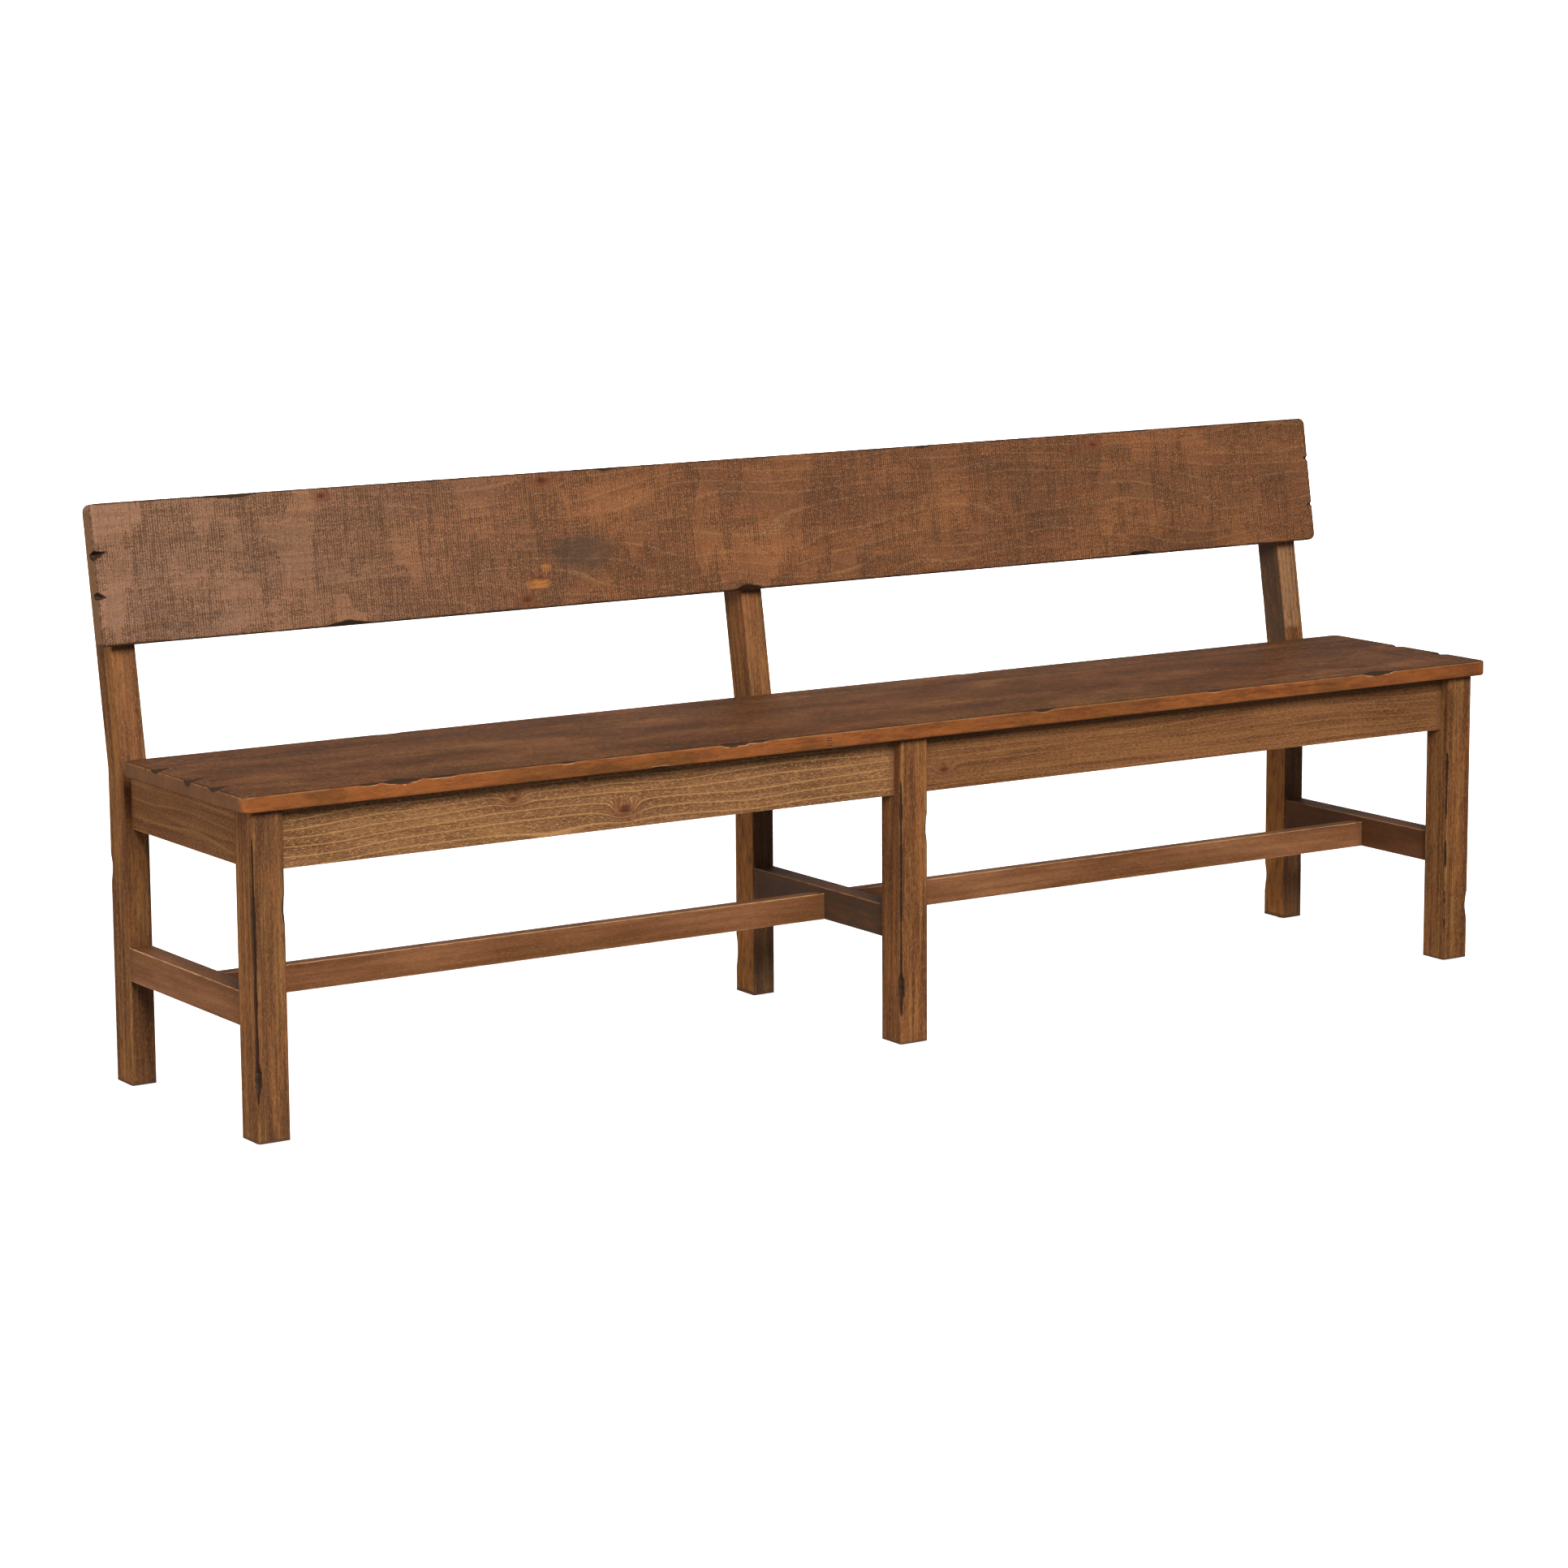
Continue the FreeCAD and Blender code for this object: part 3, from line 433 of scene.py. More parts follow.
def finishPiece(blank, name, spec, material):  # mesh, material and place in the frame
    bm = blank["bm"]
    bmesh.ops.remove_doubles(bm, verts=bm.verts, dist=meshFinish["merge"] * mm)
    bmesh.ops.dissolve_degenerate(bm, edges=bm.edges, dist=meshFinish["slimmest"] * mm)
    for face in bm.faces:
        face.smooth = True
    mesh = bpy.data.meshes.new(name)
    bm.to_mesh(mesh)
    bm.free()
    mesh.set_sharp_from_angle(angle=math.radians(meshFinish["sharpFrom"]))
    mesh.materials.append(material)
    piece = bpy.data.objects.new(name, mesh)
    scene.collection.objects.link(piece)
    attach(piece, "root")
    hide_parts(spec["node"])


# Materials
waveTurn = math.pi / 10  # scale at which a wave texture repeats once in each unit


def linearColour(text):  # sRGB hex to the linear colour that a socket takes
    parts = [int(text[i:i + 2], 16) / 255 for i in (1, 3, 5)]
    return [c / 12.92 if c <= 0.04045 else ((c + 0.055) / 1.055) ** 2.4 for c in parts] + [1]


def feed(tree, node, inputs):  # links outputs to a node's sockets and sets plain values on them
    for key, value in inputs.items():
        if isinstance(value, bpy.types.NodeSocket):
            tree.links.new(value, node.inputs[key])
        else:
            node.inputs[key].default_value = value


def addNode(tree, kind, inputs=None, out=0, stops=None, **settings):  # node with its settings and links
    node = tree.nodes.new("ShaderNode" + kind)
    for name, value in settings.items():
        setattr(node, name, value)
    feed(tree, node, inputs or {})
    for i, (place, colour) in enumerate(stops or []):
        ramp = node.color_ramp.elements
        stop = ramp[i] if i < 2 else ramp.new(place)
        stop.position = place
        stop.color = linearColour(colour)
    return node.outputs[out]


def newMaterial(name):
    material = bpy.data.materials.new(name)
    material.use_nodes = True
    return material, material.node_tree, material.node_tree.nodes["Principled BSDF"]


# Growth rings round a pith that wanders along the length, their edges frayed by the fibres
def growthRings(tree, grain, clouds, look):
    wander, fray = look["wander"] * mm, look["fray"] * mm
    place = addNode(tree, "VectorMath", {0: grain, 1: [0, *(p * mm for p in look["pith"])]}, operation="ADD")
    for cloud, shift in (("drift", (0, wander, -wander)), ("fibre", (0, fray, fray))):
        place = addNode(tree, "VectorMath", {0: clouds[cloud], 1: shift, 2: place}, operation="MULTIPLY_ADD")
    return addNode(
        tree, "TexWave", {"Vector": place, "Scale": waveTurn / (look["ringGap"] * mm)},
        out="Fac", wave_type="RINGS", rings_direction="X", wave_profile="SAW",
    )


# Colour is laid on in coats: mask, where it starts, where it is full, strength, colour
def figureCoats(tree, clouds, marks, rings, look):
    faded = addNode(tree, "Math", {0: clouds["patch"], 1: marks["warm"]}, operation="MULTIPLY")
    return [
        # the warm coat is the seat front's own tint, painted sheen on the back board, and painted light on
        # the front of a rear post
        (marks["warm"], 0, 1, look["warmDepth"], look["warmTone"]),
        (faded, 0.5, 0.62, look["warmShadeDepth"], look["warmShade"]),
        (rings, look["ringEdge"], 0.96, look["ringDepth"], look["lateTone"]),
        (clouds["shade"], 0.5, 0.66, look["shadeDepth"], look["shadeTone"]),
        (clouds["flame"], 0.52, 0.62, look["flameDepth"], look["flameTone"]),
        (clouds["flame"], 0.46, 0.38, look["smokeDepth"], look["smokeTone"]),
        (clouds["fibre"], 0.5, 0.4, look["fibreDepth"], look["fibreTone"]),
        (clouds["fleck"], 0.54, 0.63, look["fleckDepth"], look["fleckTone"]),
        (rings, 0.82, 0.94, look["lineDepth"], look["lineTone"]),
    ]


# Saw marks: upright kerfs crossing the fibres like a weave, planed away in blocks and on the edges
def sawMarks(tree, grain, clouds, marks, kerf):
    place = addNode(tree, "VectorMath", {0: grain, 1: [s * mm for s in kerf["block"]]}, operation="DIVIDE")
    blocks = {"Vector": place, "Scale": 1, "Randomness": 0.9}
    block = addNode(tree, "TexVoronoi", blocks, out="Color", distance="CHEBYCHEV")
    weave = addNode(tree, "CombineXYZ", {0: clouds["spot"], 1: clouds["upright"], 2: clouds["level"]})
    mark = addNode(tree, "VectorMath", {0: weave, 1: kerf["weights"]}, out="Value", operation="DOT_PRODUCT")
    comb = {"Vector": grain, "Scale": waveTurn / (kerf["gap"] * mm), "Distortion": 1.5, "Detail Scale": 0.5}
    comb = addNode(tree, "TexWave", comb, out="Fac", bands_direction="X", wave_profile="SIN")
    mark = addNode(tree, "Math", {0: comb, 1: kerf["combWeight"], 2: mark}, operation="MULTIPLY_ADD")
    sawn = {0: block, 1: kerf["blockWeight"], 2: clouds["field"]}
    sawn = addNode(tree, "Math", sawn, operation="MULTIPLY_ADD")
    sawn = {"Value": sawn, "From Min": kerf["planed"], "From Max": kerf["rough"]}
    sawn = addNode(tree, "MapRange", sawn | {"To Min": -0.13, "To Max": 0.06})
    mark = addNode(tree, "Math", {0: sawn, 1: mark})
    mark = addNode(tree, "Math", {0: mark, 1: marks["edge"]}, operation="SUBTRACT")
    crest = addNode(tree, "Math", {0: clouds["upright"], 1: marks["edge"]}, operation="SUBTRACT")
    groove = addNode(tree, "Math", {0: clouds["upright"], 1: marks["edge"]})
    chaff = addNode(tree, "Math", {0: clouds["spot"], 1: marks["edge"]})
    return mark, [
        (crest, 0.56, 0.66, kerf["crestDepth"], kerf["crestTone"]),
        (groove, 0.47, 0.37, kerf["grooveDepth"], kerf["grooveTone"]),
        (chaff, 0.42, 0.33, kerf["fleckDepth"], kerf["fleckTone"]),
        (mark, kerf["start"], kerf["start"] + kerf["blur"], kerf["depth"], kerf["tone"]),
    ]


# Knots, spills, painted shade and painted light, end grain, worn arrises and bruises
def wearCoats(tree, clouds, marks, look):
    worn = {}
    for name in ("hurt", "pale", "stainAndShade"):
        worn[name] = addNode(tree, "Math", {0: clouds["rub"], 1: marks[name]}, operation="MULTIPLY")
    bare = {0: marks["rim"], 1: -0.5 / (look["rubWidth"] * mm), 2: clouds["rub"]}
    bare = addNode(tree, "Math", bare, operation="MULTIPLY_ADD")
    bare = addNode(tree, "Math", {0: bare, 1: marks["edge"]}, operation="MULTIPLY")
    lip = {0: marks["rim"], 1: -0.5 / (look["lipWidth"] * mm), 2: clouds["rub"]}
    lip = addNode(tree, "Math", lip, operation="MULTIPLY_ADD")
    lip = addNode(tree, "Math", {0: marks["edge"], 1: -2, 2: lip}, operation="MULTIPLY_ADD")
    return [
        (marks["knot"], 0.12, 0.6, 0.4, look["haloTone"]),
        (marks["knot"], 0.7, 0.95, 0.8, look["knotTone"]),
        # these two coats darken and pale real spills, and also lay painted shade (darker) and painted light
        # (paler) on some faces
        (worn["stainAndShade"], 0.14, 0.5, 0.7, look["stainAndShadeTone"]),
        (worn["stainAndShade"], -0.2, -0.42, 0.75, look["paleStainAndLightTone"]),
        (marks["endGrain"], 0, 1, 0.65, look["endTone"]),
        (lip, 0, 0.2, look["lipDepth"], look["lipTone"]),
        (bare, 0, 0.2, look["rubDepth"], look["rubTone"]),
        (worn["hurt"], 0.12, 0.34, 0.92, look["hurtTone"]),
        (worn["pale"], 0.2, 0.45, look["paleDepth"], look["paleTone"]),
    ]


# Pine under brown stain and satin lacquer: ring lines, dark fibres, flecks rubbed back to bare wood
def stainedPine(look):
    material, tree, shader = newMaterial(look["name"])
    grain = addNode(tree, "Attribute", out="Vector", attribute_name="grain")
    marks = {name: addNode(tree, "Attribute", out="Fac", attribute_name=name) for name in markNames}
    clouds = {}
    for name, (size, detail, roughness) in {**pineClouds, **look["clouds"]}.items():
        place = addNode(tree, "VectorMath", {0: grain, 1: [s * mm for s in size]}, operation="DIVIDE")
        settings = {"Vector": place, "Scale": 1, "Detail": detail, "Roughness": roughness}
        clouds[name] = addNode(tree, "TexNoise", settings)
    rings = growthRings(tree, grain, clouds, look)
    coats = figureCoats(tree, clouds, marks, rings, look)
    height = addNode(tree, "Math", {0: rings, 1: 0.5, 2: clouds["fibre"]}, operation="MULTIPLY_ADD")
    if "kerf" in look:
        mark, sawCoats = sawMarks(tree, grain, clouds, marks, look["kerf"])
        coats += sawCoats
        height = addNode(tree, "Math", {0: mark, 1: -2, 2: height}, operation="MULTIPLY_ADD")
    coats += wearCoats(tree, clouds, marks, look)
    stops = list(zip((0.36, 0.64, 0.5), look["tones"]))
    tone = addNode(tree, "ValToRGB", {"Fac": clouds["blotch"]}, stops=stops)
    for mask, start, stop, depth, colour in coats:
        if depth:
            reach = {"Value": mask, "From Min": start, "From Max": stop, "To Max": depth}
            share = addNode(tree, "MapRange", reach)
            tone = addNode(tree, "Mix", {0: share, 6: tone, 7: linearColour(colour)}, out=2, data_type="RGBA")
    gloss = {"Value": clouds["flame"], "From Min": 0.3, "From Max": 0.7}
    gloss |= {"To Min": look["satin"] - look["satinDip"], "To Max": look["satin"] + look["satinRise"]}
    gloss = addNode(tree, "MapRange", gloss)
    relief = addNode(tree, "Bump", {"Strength": 1, "Distance": look["relief"] * mm, "Height": height})
    feed(tree, shader, {"Base Color": tone, "Roughness": gloss, "Normal": relief})
    feed(tree, shader, {"IOR": 1.5, "Specular IOR Level": look["sheen"]})
    return material


# Length, width and depth of each pattern in millimetres, then its detail and roughness.
# Fibres and flecks are drawn about a millimetre wide, coarser than real ones, so that they show.
pineClouds = {
    "blotch": ((240, 50, 50), 4, 0.55), "shade": ((130, 26, 26), 3, 0.5), "drift": ((620, 150, 150), 2, 0.5),
    "flame": ((220, 6, 6), 4, 0.6), "fibre": ((10, 1.3, 1.3), 3, 0.7), "fleck": ((6, 1.5, 1.5), 2, 0.7),
    "rub": ((28, 6, 6), 3, 0.6), "patch": ((70, 20, 20), 3, 0.6),
}
# Finishes; the three tones of each run dark, light, middle
pineLook = {
    "clouds": {}, "wander": 50, "pith": (30, 45), "fray": 3,
    "lateTone": "#4a2915", "ringGap": 8, "ringEdge": 0.4, "ringDepth": 0.35,
    "lineTone": "#b58754", "lineDepth": 0,
    "shadeTone": "#54351a", "shadeDepth": 0.35, "flameTone": "#8a6434", "flameDepth": 0,
    "smokeTone": "#4c2c17", "smokeDepth": 0, "fibreTone": "#4e2e18", "fibreDepth": 0.4,
    "fleckTone": "#a67647", "fleckDepth": 0.3, "knotTone": "#3f1d0f", "haloTone": "#6b371f",
    # the dark spill tone also serves as painted shade, and the pale bark tone as painted light
    "stainAndShadeTone": "#3f342a", "paleStainAndLightTone": "#a86930", "endTone": "#5c3f2c",
    "warmDepth": 0, "warmTone": "#945527", "warmShadeDepth": 0, "warmShade": "#6a381e",
    "rubTone": "#a8703e", "rubWidth": 1.8, "rubDepth": 0.4,
    "lipTone": "#a8703e", "lipWidth": 1.8, "lipDepth": 0.4,
    "hurtTone": "#241811", "paleTone": "#b4865a", "paleDepth": 0,
    "satin": 0.52, "satinDip": 0.06, "satinRise": 0.1, "sheen": 0.14, "relief": 0.4,
}
seatLook = dict(
    pineLook, name="stained pine planed seat", tones=("#58341d", "#835633", "#6f4428"),
    clouds={
        "blotch": ((260, 66, 66), 4, 0.55), "shade": ((150, 30, 30), 3, 0.55),
        "flame": ((130, 10, 10), 5, 0.8), "fibre": ((26, 6, 6), 4, 0.8), "spot": ((4, 9, 9), 2, 0.6),
        "upright": ((6, 70, 70), 3, 0.75), "level": ((34, 8, 8), 2, 0.6), "field": ((120, 50, 50), 3, 0.6),
    },
    kerf={
        "gap": 5, "combWeight": 0.12, "block": (90, 60, 60), "weights": (0.7, 0.9, 0.35), "blockWeight": 0.5,
        "planed": 0.52, "rough": 0.76, "start": 1.035, "blur": 0.1, "depth": 0.5, "tone": "#36241a",
        "fleckDepth": 0.25, "fleckTone": "#94704e", "crestDepth": 0.3, "crestTone": "#86603d",
        "grooveDepth": 0.35, "grooveTone": "#452b1a",
    },
    lateTone="#4b2d1b", ringGap=14, ringDepth=0.16, wander=110, pith=(60, 40),
    shadeTone="#523718", shadeDepth=0.55, flameTone="#7e4c28", flameDepth=0.45,
    smokeTone="#452616", smokeDepth=0.5, fibreDepth=0.3, fleckDepth=0.1,
    warmDepth=0.9, warmTone="#864b22", warmShadeDepth=0.6, warmShade="#5f311b",
    rubTone="#a07850", rubWidth=2.0, rubDepth=0.5, lipTone="#332217", lipWidth=5, lipDepth=0.6,
    hurtTone="#33251b", paleDepth=0.5, paleTone="#c0966f", endTone="#664732", sheen=0.1, relief=0.25,
)
# the warm tone of the back board is a painted sheen towards its left end
backLook = dict(
    pineLook, name="stained pine rough sawn", tones=("#613d28", "#895634", "#784a2d"),
    clouds={
        "blotch": ((220, 90, 90), 4, 0.55), "spot": ((1.5, 2.4, 2.4), 2, 0.6),
        "upright": ((4, 70, 70), 4, 0.75), "level": ((28, 1.5, 1.5), 2, 0.6),
        "field": ((110, 50, 50), 3, 0.6),
    },
    kerf={
        "gap": 3.7, "combWeight": 0.16, "block": (46, 120, 120), "weights": (0.7, 0.9, 0.35),
        "blockWeight": 0.4, "planed": 0.5, "rough": 0.72, "start": 1.055, "blur": 0.1,
        "depth": 0.7, "tone": "#372519",
        "fleckDepth": 0.45, "fleckTone": "#a98260", "crestDepth": 0.4, "crestTone": "#9a663c",
        "grooveDepth": 0.45, "grooveTone": "#4b321f",
    },
    lateTone="#57361e", ringGap=18, ringDepth=0.3, lineTone="#a97b53", lineDepth=0.25, wander=150,
    pith=(20, 70), shadeTone="#563d28", fibreDepth=0.16, fleckDepth=0.12, warmDepth=0.6, warmTone="#8a6b58",
    rubTone="#382518", rubWidth=2.8, rubDepth=0.8, lipTone="#382518", lipWidth=2.8, lipDepth=0.8,
    hurtTone="#2f2218", endTone="#6e4f32", satin=0.55, sheen=0.1, relief=0.3,
)
# the warm tone of the legs is painted light on the front of the right rear post
legLook = dict(
    pineLook, name="stained pine sawn leg", tones=("#5b361d", "#89552e", "#734727"),
    clouds={"blotch": ((200, 30, 30), 4, 0.55), "fibre": ((14, 1.3, 1.3), 3, 0.7)},
    ringGap=7, ringDepth=0.3, wander=30, pith=(35, 50), flameDepth=0.6, smokeDepth=0.7,
    fibreTone="#3f2311", fibreDepth=0.62, fleckDepth=0.4, fleckTone="#9c6d3d", hurtTone="#2f2017",
    warmDepth=0.6, warmTone="#a07a58", warmShadeDepth=0.4, warmShade="#7a5638",
    rubTone="#432a18", rubDepth=0.3, lipTone="#432a18", lipDepth=0.3,
)
apronLook = dict(
    pineLook, name="stained pine brushed apron", tones=("#6d472c", "#885e3a", "#7a5335"),
    clouds={"fibre": ((7, 1.2, 1.2), 3, 0.75), "fleck": ((5, 1.3, 1.3), 2, 0.75)},
    lateTone="#58351e", ringGap=11, ringDepth=0.5, lineDepth=0.6, lineTone="#b58653",
    wander=95, pith=(-10, 75), fray=0.8, flameDepth=0.2, smokeDepth=0.35,
    fibreTone="#4d2d16", fibreDepth=0.65, fleckDepth=0.55, fleckTone="#b78b5b",
    haloTone="#6f3b25", knotTone="#3d1a11", relief=0.5,
)
redApronLook = dict(
    apronLook, name="stained pine combed apron", tones=("#643c20", "#825433", "#72492c"),
    flameDepth=0.35, smokeDepth=0.5, ringGap=9, ringDepth=0.25, lineDepth=0.35, lineTone="#a27240",
    fibreTone="#42230f", fleckDepth=0.4, fleckTone="#a77646",
)
stretcherLook = dict(
    pineLook, name="stained pine planed stretcher", tones=("#6a4125", "#8c5d3d", "#7d4f33"),
    ringDepth=0.2, wander=40, flameDepth=0.25, smokeDepth=0.25, fibreDepth=0.3, fleckDepth=0.2,
    rubTone="#c39668", rubWidth=1.3, rubDepth=0.7, lipTone="#c39668", lipWidth=1.3, lipDepth=0.7,
    relief=0.3, satin=0.46,
)
# a darker copy of the stretcher finish: painted shade on the cross stretchers under the seat
shadedStretcherLook = dict(
    stretcherLook, name="stained pine planed painted shade", tones=("#422616", "#653e25", "#53321d"),
    flameDepth=0, fleckDepth=0.08, rubDepth=0.4, lipDepth=0.4,
)
seatPine = stainedPine(seatLook)
backPine = stainedPine(backLook)
legPine = stainedPine(legLook)
apronPine = stainedPine(apronLook)
redApronPine = stainedPine(redApronLook)
stretcherPine = stainedPine(stretcherLook)
shadedStretcherPine = stainedPine(shadedStretcherLook)


def sawnPine():  # unstained softwood blocks: pale straw with soft brown ring lines and a fuzzy sawn face
    material, tree, shader = newMaterial("pine sawn raw")
    place = addNode(tree, "TexCoord", out="Object")
    ringCounts = [count / (100 * mm) for count in (2, 9, 24)]  # ring lines in 100 mm of each axis
    across = addNode(tree, "VectorMath", {0: place, 1: ringCounts}, operation="MULTIPLY")
    rings = addNode(tree, "TexNoise", {"Vector": across, "Scale": 1, "Detail": 4, "Roughness": 0.6})
    stops = [(0.35, "#c9a878"), (0.7, "#a47a48"), (0.5, "#bb945f")]
    tone = addNode(tree, "ValToRGB", {"Fac": rings}, stops=stops)
    fuzz = addNode(tree, "TexNoise", {"Vector": place, "Scale": 7 / (10 * mm), "Detail": 2})  # 7 in 10 mm
    relief = addNode(tree, "Bump", {"Strength": 0.6, "Distance": 0.3 * mm, "Height": fuzz})
    feed(tree, shader, {"Base Color": tone, "Normal": relief, "Roughness": 0.75})
    return material


def turnedBeech():  # pale pinkish hardwood pegs with short dark flecks
    material, tree, shader = newMaterial("beech turned")
    place = addNode(tree, "TexCoord", out="Object")
    flecks = addNode(tree, "TexNoise", {"Vector": place, "Scale": 9 / (10 * mm), "Detail": 3})  # 9 in 10 mm
    tone = addNode(tree, "ValToRGB", {"Fac": flecks}, stops=[(0.4, "#c79f72"), (0.65, "#a97e50")])
    relief = addNode(tree, "Bump", {"Strength": 0.4, "Distance": 0.1 * mm, "Height": flecks})
    feed(tree, shader, {"Base Color": tone, "Normal": relief, "Roughness": 0.6})
    return material


def zincSteel():  # zinc-plated screws: cool grey metal, cloudy in tone and in gloss
    material, tree, shader = newMaterial("steel zinc plated")
    place = addNode(tree, "TexCoord", out="Object")
    cloud = addNode(tree, "TexNoise", {"Vector": place, "Scale": 9 / (20 * mm), "Detail": 4})  # 9 in 20 mm
    tone = addNode(tree, "ValToRGB", {"Fac": cloud}, stops=[(0.35, "#8f8c86"), (0.7, "#b9b5aa")])
    scuff = addNode(tree, "MapRange", {"Value": cloud, "To Min": 0.28, "To Max": 0.5})
    feed(tree, shader, {"Base Color": tone, "Roughness": scuff, "Metallic": 1})
    return material


def mouldedGlide():  # moulded black polyethylene: matt, faintly pitted, mottled with dark grey
    material, tree, shader = newMaterial("polyethylene moulded black")
    place = addNode(tree, "TexCoord", out="Object")
    pits = addNode(tree, "TexNoise", {"Vector": place, "Scale": 12 / (10 * mm), "Detail": 2})  # 12 in 10 mm
    tone = addNode(tree, "ValToRGB", {"Fac": pits}, stops=[(0.4, "#17161a"), (0.75, "#2b2a2c")])
    relief = addNode(tree, "Bump", {"Strength": 0.5, "Distance": 0.1 * mm, "Height": pits})
    feed(tree, shader, {"Base Color": tone, "Normal": relief, "Roughness": 0.55})
    return material


fittings = {
    "block_pine": sawnPine(), "dowel_beech": turnedBeech(), "fixing_steel": zincSteel(),
    "glide_plastic": mouldedGlide(),
}
for row in frame["record"]["subparts"]:
    if row["material_slot"] in fittings:
        for slot in frame["nodes"][row["node"]].material_slots:
            slot.material = fittings[row["material_slot"]]
print("materials made")

# Seat, three boards edge to edge; the ends are split and the front arris is knocked about
boardRims = (0.8, 1.6, 2.6, 4, 6, 8.5, 12)
seatShape = {
    "slot": "seat_pine", "runs": "xyz", "shaded": ["z-"], "field": 12, "rimLines": boardRims, "wear": 1.5,
    "cornerRadius": 12, "cornerSteps": 5, "edgeRadius": 3, "edgeSteps": 3, "seamEase": 0.5, "endStretch": 14,
    "splits": [
        ("z+", "x-", 2, 26, 15, 3.6, 0.3), ("z+", "x-", -95, 40, 13, 6.5, 0.35),
        ("z+", "x-", -168, 28, 15, 3.8, 0.3), ("z+", "x+", -52, 26, 14, 4.5, 0.2),
        ("z+", "x+", -154, 26, 14, 5, 0.2), ("z+", "x-", -52, 60, 1.4, 1.2, 0.02),
    ],
}
seatBoards = {
    "frontSeatBoard": {
        "node": "seat_front_board", "figure": (0.0, 0.0, 0.0), "seams": ["y+"], "corners": ["y-"], "pitch": 9,
        "chips": [
            ("y-z+", -858, 70, 2.4), ("y-z+", -806, 74, 4.8), ("y-z+", -748, 90, 2.6), ("y-z+", -300, 62, 5),
            ("y-z+", -262, 60, 2.8), ("y-z+", 214, 50, 3.8), ("y-z+", 825, 74, 5), ("y-z+", -560, 50, 2.2),
            ("y-z+", 520, 60, 2.2), ("y-z-", -420, 60, 2.6),
        ],
        "spread": {"z+": 2.6}, "knots": [(-319, -160, 14), (842, -186, 16)], "warmFace": "y-",
        "scores": [("z+", 969, -214, -110, 1.3)],
        "slits": [("y-", -149, z, 9, 0.9, 0.7) for z in (439.5, 443, 446.5, 450)],  # finger joint
    },
    "middleSeatBoard": {
        "node": "seat_middle_board", "figure": (0.0, 0.139, 0.0), "seams": ["y-", "y+"], "openSeams": ["y+"],
        "corners": [], "pitch": 14, "scores": [("z+", 969, -113, -44, 1.3)],
    },
    "rearSeatBoard": {
        "node": "seat_rear_board", "figure": (3.1, 0.4, 0.2), "seams": ["y-"], "openSeams": ["y-"],
        "corners": ["y+"], "pitch": 11, "chips": [("y+z+", -640, 60, 6), ("y+z+", 330, 70, 6)],
    },
}
for name, own in seatBoards.items():
    spec = {**seatShape, **own}
    seams = spec["seams"]
    low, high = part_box(spec["node"])
    blank = sawBlank(low, high, spec["runs"])
    spec["splits"] = [s for s in seatShape["splits"] if low.y / mm < s[2] < high.y / mm]
    for side in spec["corners"]:
        roundOver(
            blank, lambda e: runsAlong(e, 2) and inset(e.verts[0].co, blank, side) < mm,
            spec["cornerRadius"] * mm, spec["cornerSteps"],
        )
    roundOver(
        blank, lambda e: isSquareTo(e, 2) and not atSeam(e, blank, seams),
        spec["edgeRadius"] * mm, spec["edgeSteps"],
    )
    roundOver(blank, lambda e: runsAlong(e, 0) and atSeam(e, blank, seams), spec["seamEase"] * mm, 1)
    spec["breaks"] = [low.x + spec["endStretch"] * mm, high.x - spec["endStretch"] * mm]
    wearTimber(blank, spec)
    finishPiece(blank, name, spec, seatPine)
print("seat boards made")

# Back board, shaped upright and then leaned onto the posts; heights are from its lower edge
backBoard = {
    "node": "back_board", "slot": "back_pine", "runs": "xzy", "figure": (0.0, 0.0, 0.0), "lean": 9.6,
    # the painted sheen on the back board is full at the first place along it and gone at the second
    "fade": (-900, -250), "pitch": 9, "field": 6, "rimLines": boardRims, "wear": 1.6,
    "cornerRadius": 10, "cornerSteps": 5, "edgeRadius": 3, "edgeSteps": 3, "endStretch": 14,
    "endBites": [
        ("x-", 120, 19, 7, 14, 0.25), ("x-", 67, 13, 6, 12, -0.2),
        ("x+", 127, 11, 4.5, 5, 0.2), ("x+", 56, 11, 4, 5, -0.1),
    ],
    "topChips": [(-830, 130, 5.5), (-237, 60, 5), (306, 50, 4.5), (-520, 50, 3), (720, 60, 3)],
    "bottomChips": [(-670, 85, 7), (-18, 60, 8), (690, 70, 6)],
    "knotSpots": [
        (-345, 178, 10), (577, 164, 6), (620, 172, 8), (-386, 14, 10), (-692, 178, 8), (-361, 43, 8),
    ],
    "stainSpots": [
        (-289, 75, 60, 30, 1.0), (-807, 88, 34, 8, 0.7), (-366, 34, 26, 9, -0.85),
        (-350, 58, 16, 14, -0.8), (-180, 120, 60, 16, 0.5), (640, 118, 30, 16, 0.4),
    ],
}
leaned = Matrix.Rotation(math.radians(-backBoard["lean"]), 3, "X")
upright = [leaned.inverted() @ v.co for v in frame["nodes"]["back_board"].data.vertices]
low = Vector([min(co[a] for co in upright) for a in range(3)])
high = Vector([max(co[a] for co in upright) for a in range(3)])
foot = low.z / mm
backBoard["splits"] = [("y-", end, foot + rise, *shape) for end, rise, *shape in backBoard["endBites"]]
backBoard["chips"] = [("y-z+", *chip) for chip in backBoard["topChips"]]
backBoard["chips"] += [("y-z-", *chip) for chip in backBoard["bottomChips"]]
backBoard["knots"] = [(at, foot + rise, size) for at, rise, size in backBoard["knotSpots"]]
backBoard["stains"] = [(at, foot + rise, *shape) for at, rise, *shape in backBoard["stainSpots"]]
backBoard["breaks"] = [low.x + backBoard["endStretch"] * mm, high.x - backBoard["endStretch"] * mm]
blank = sawBlank(low, high, backBoard["runs"])
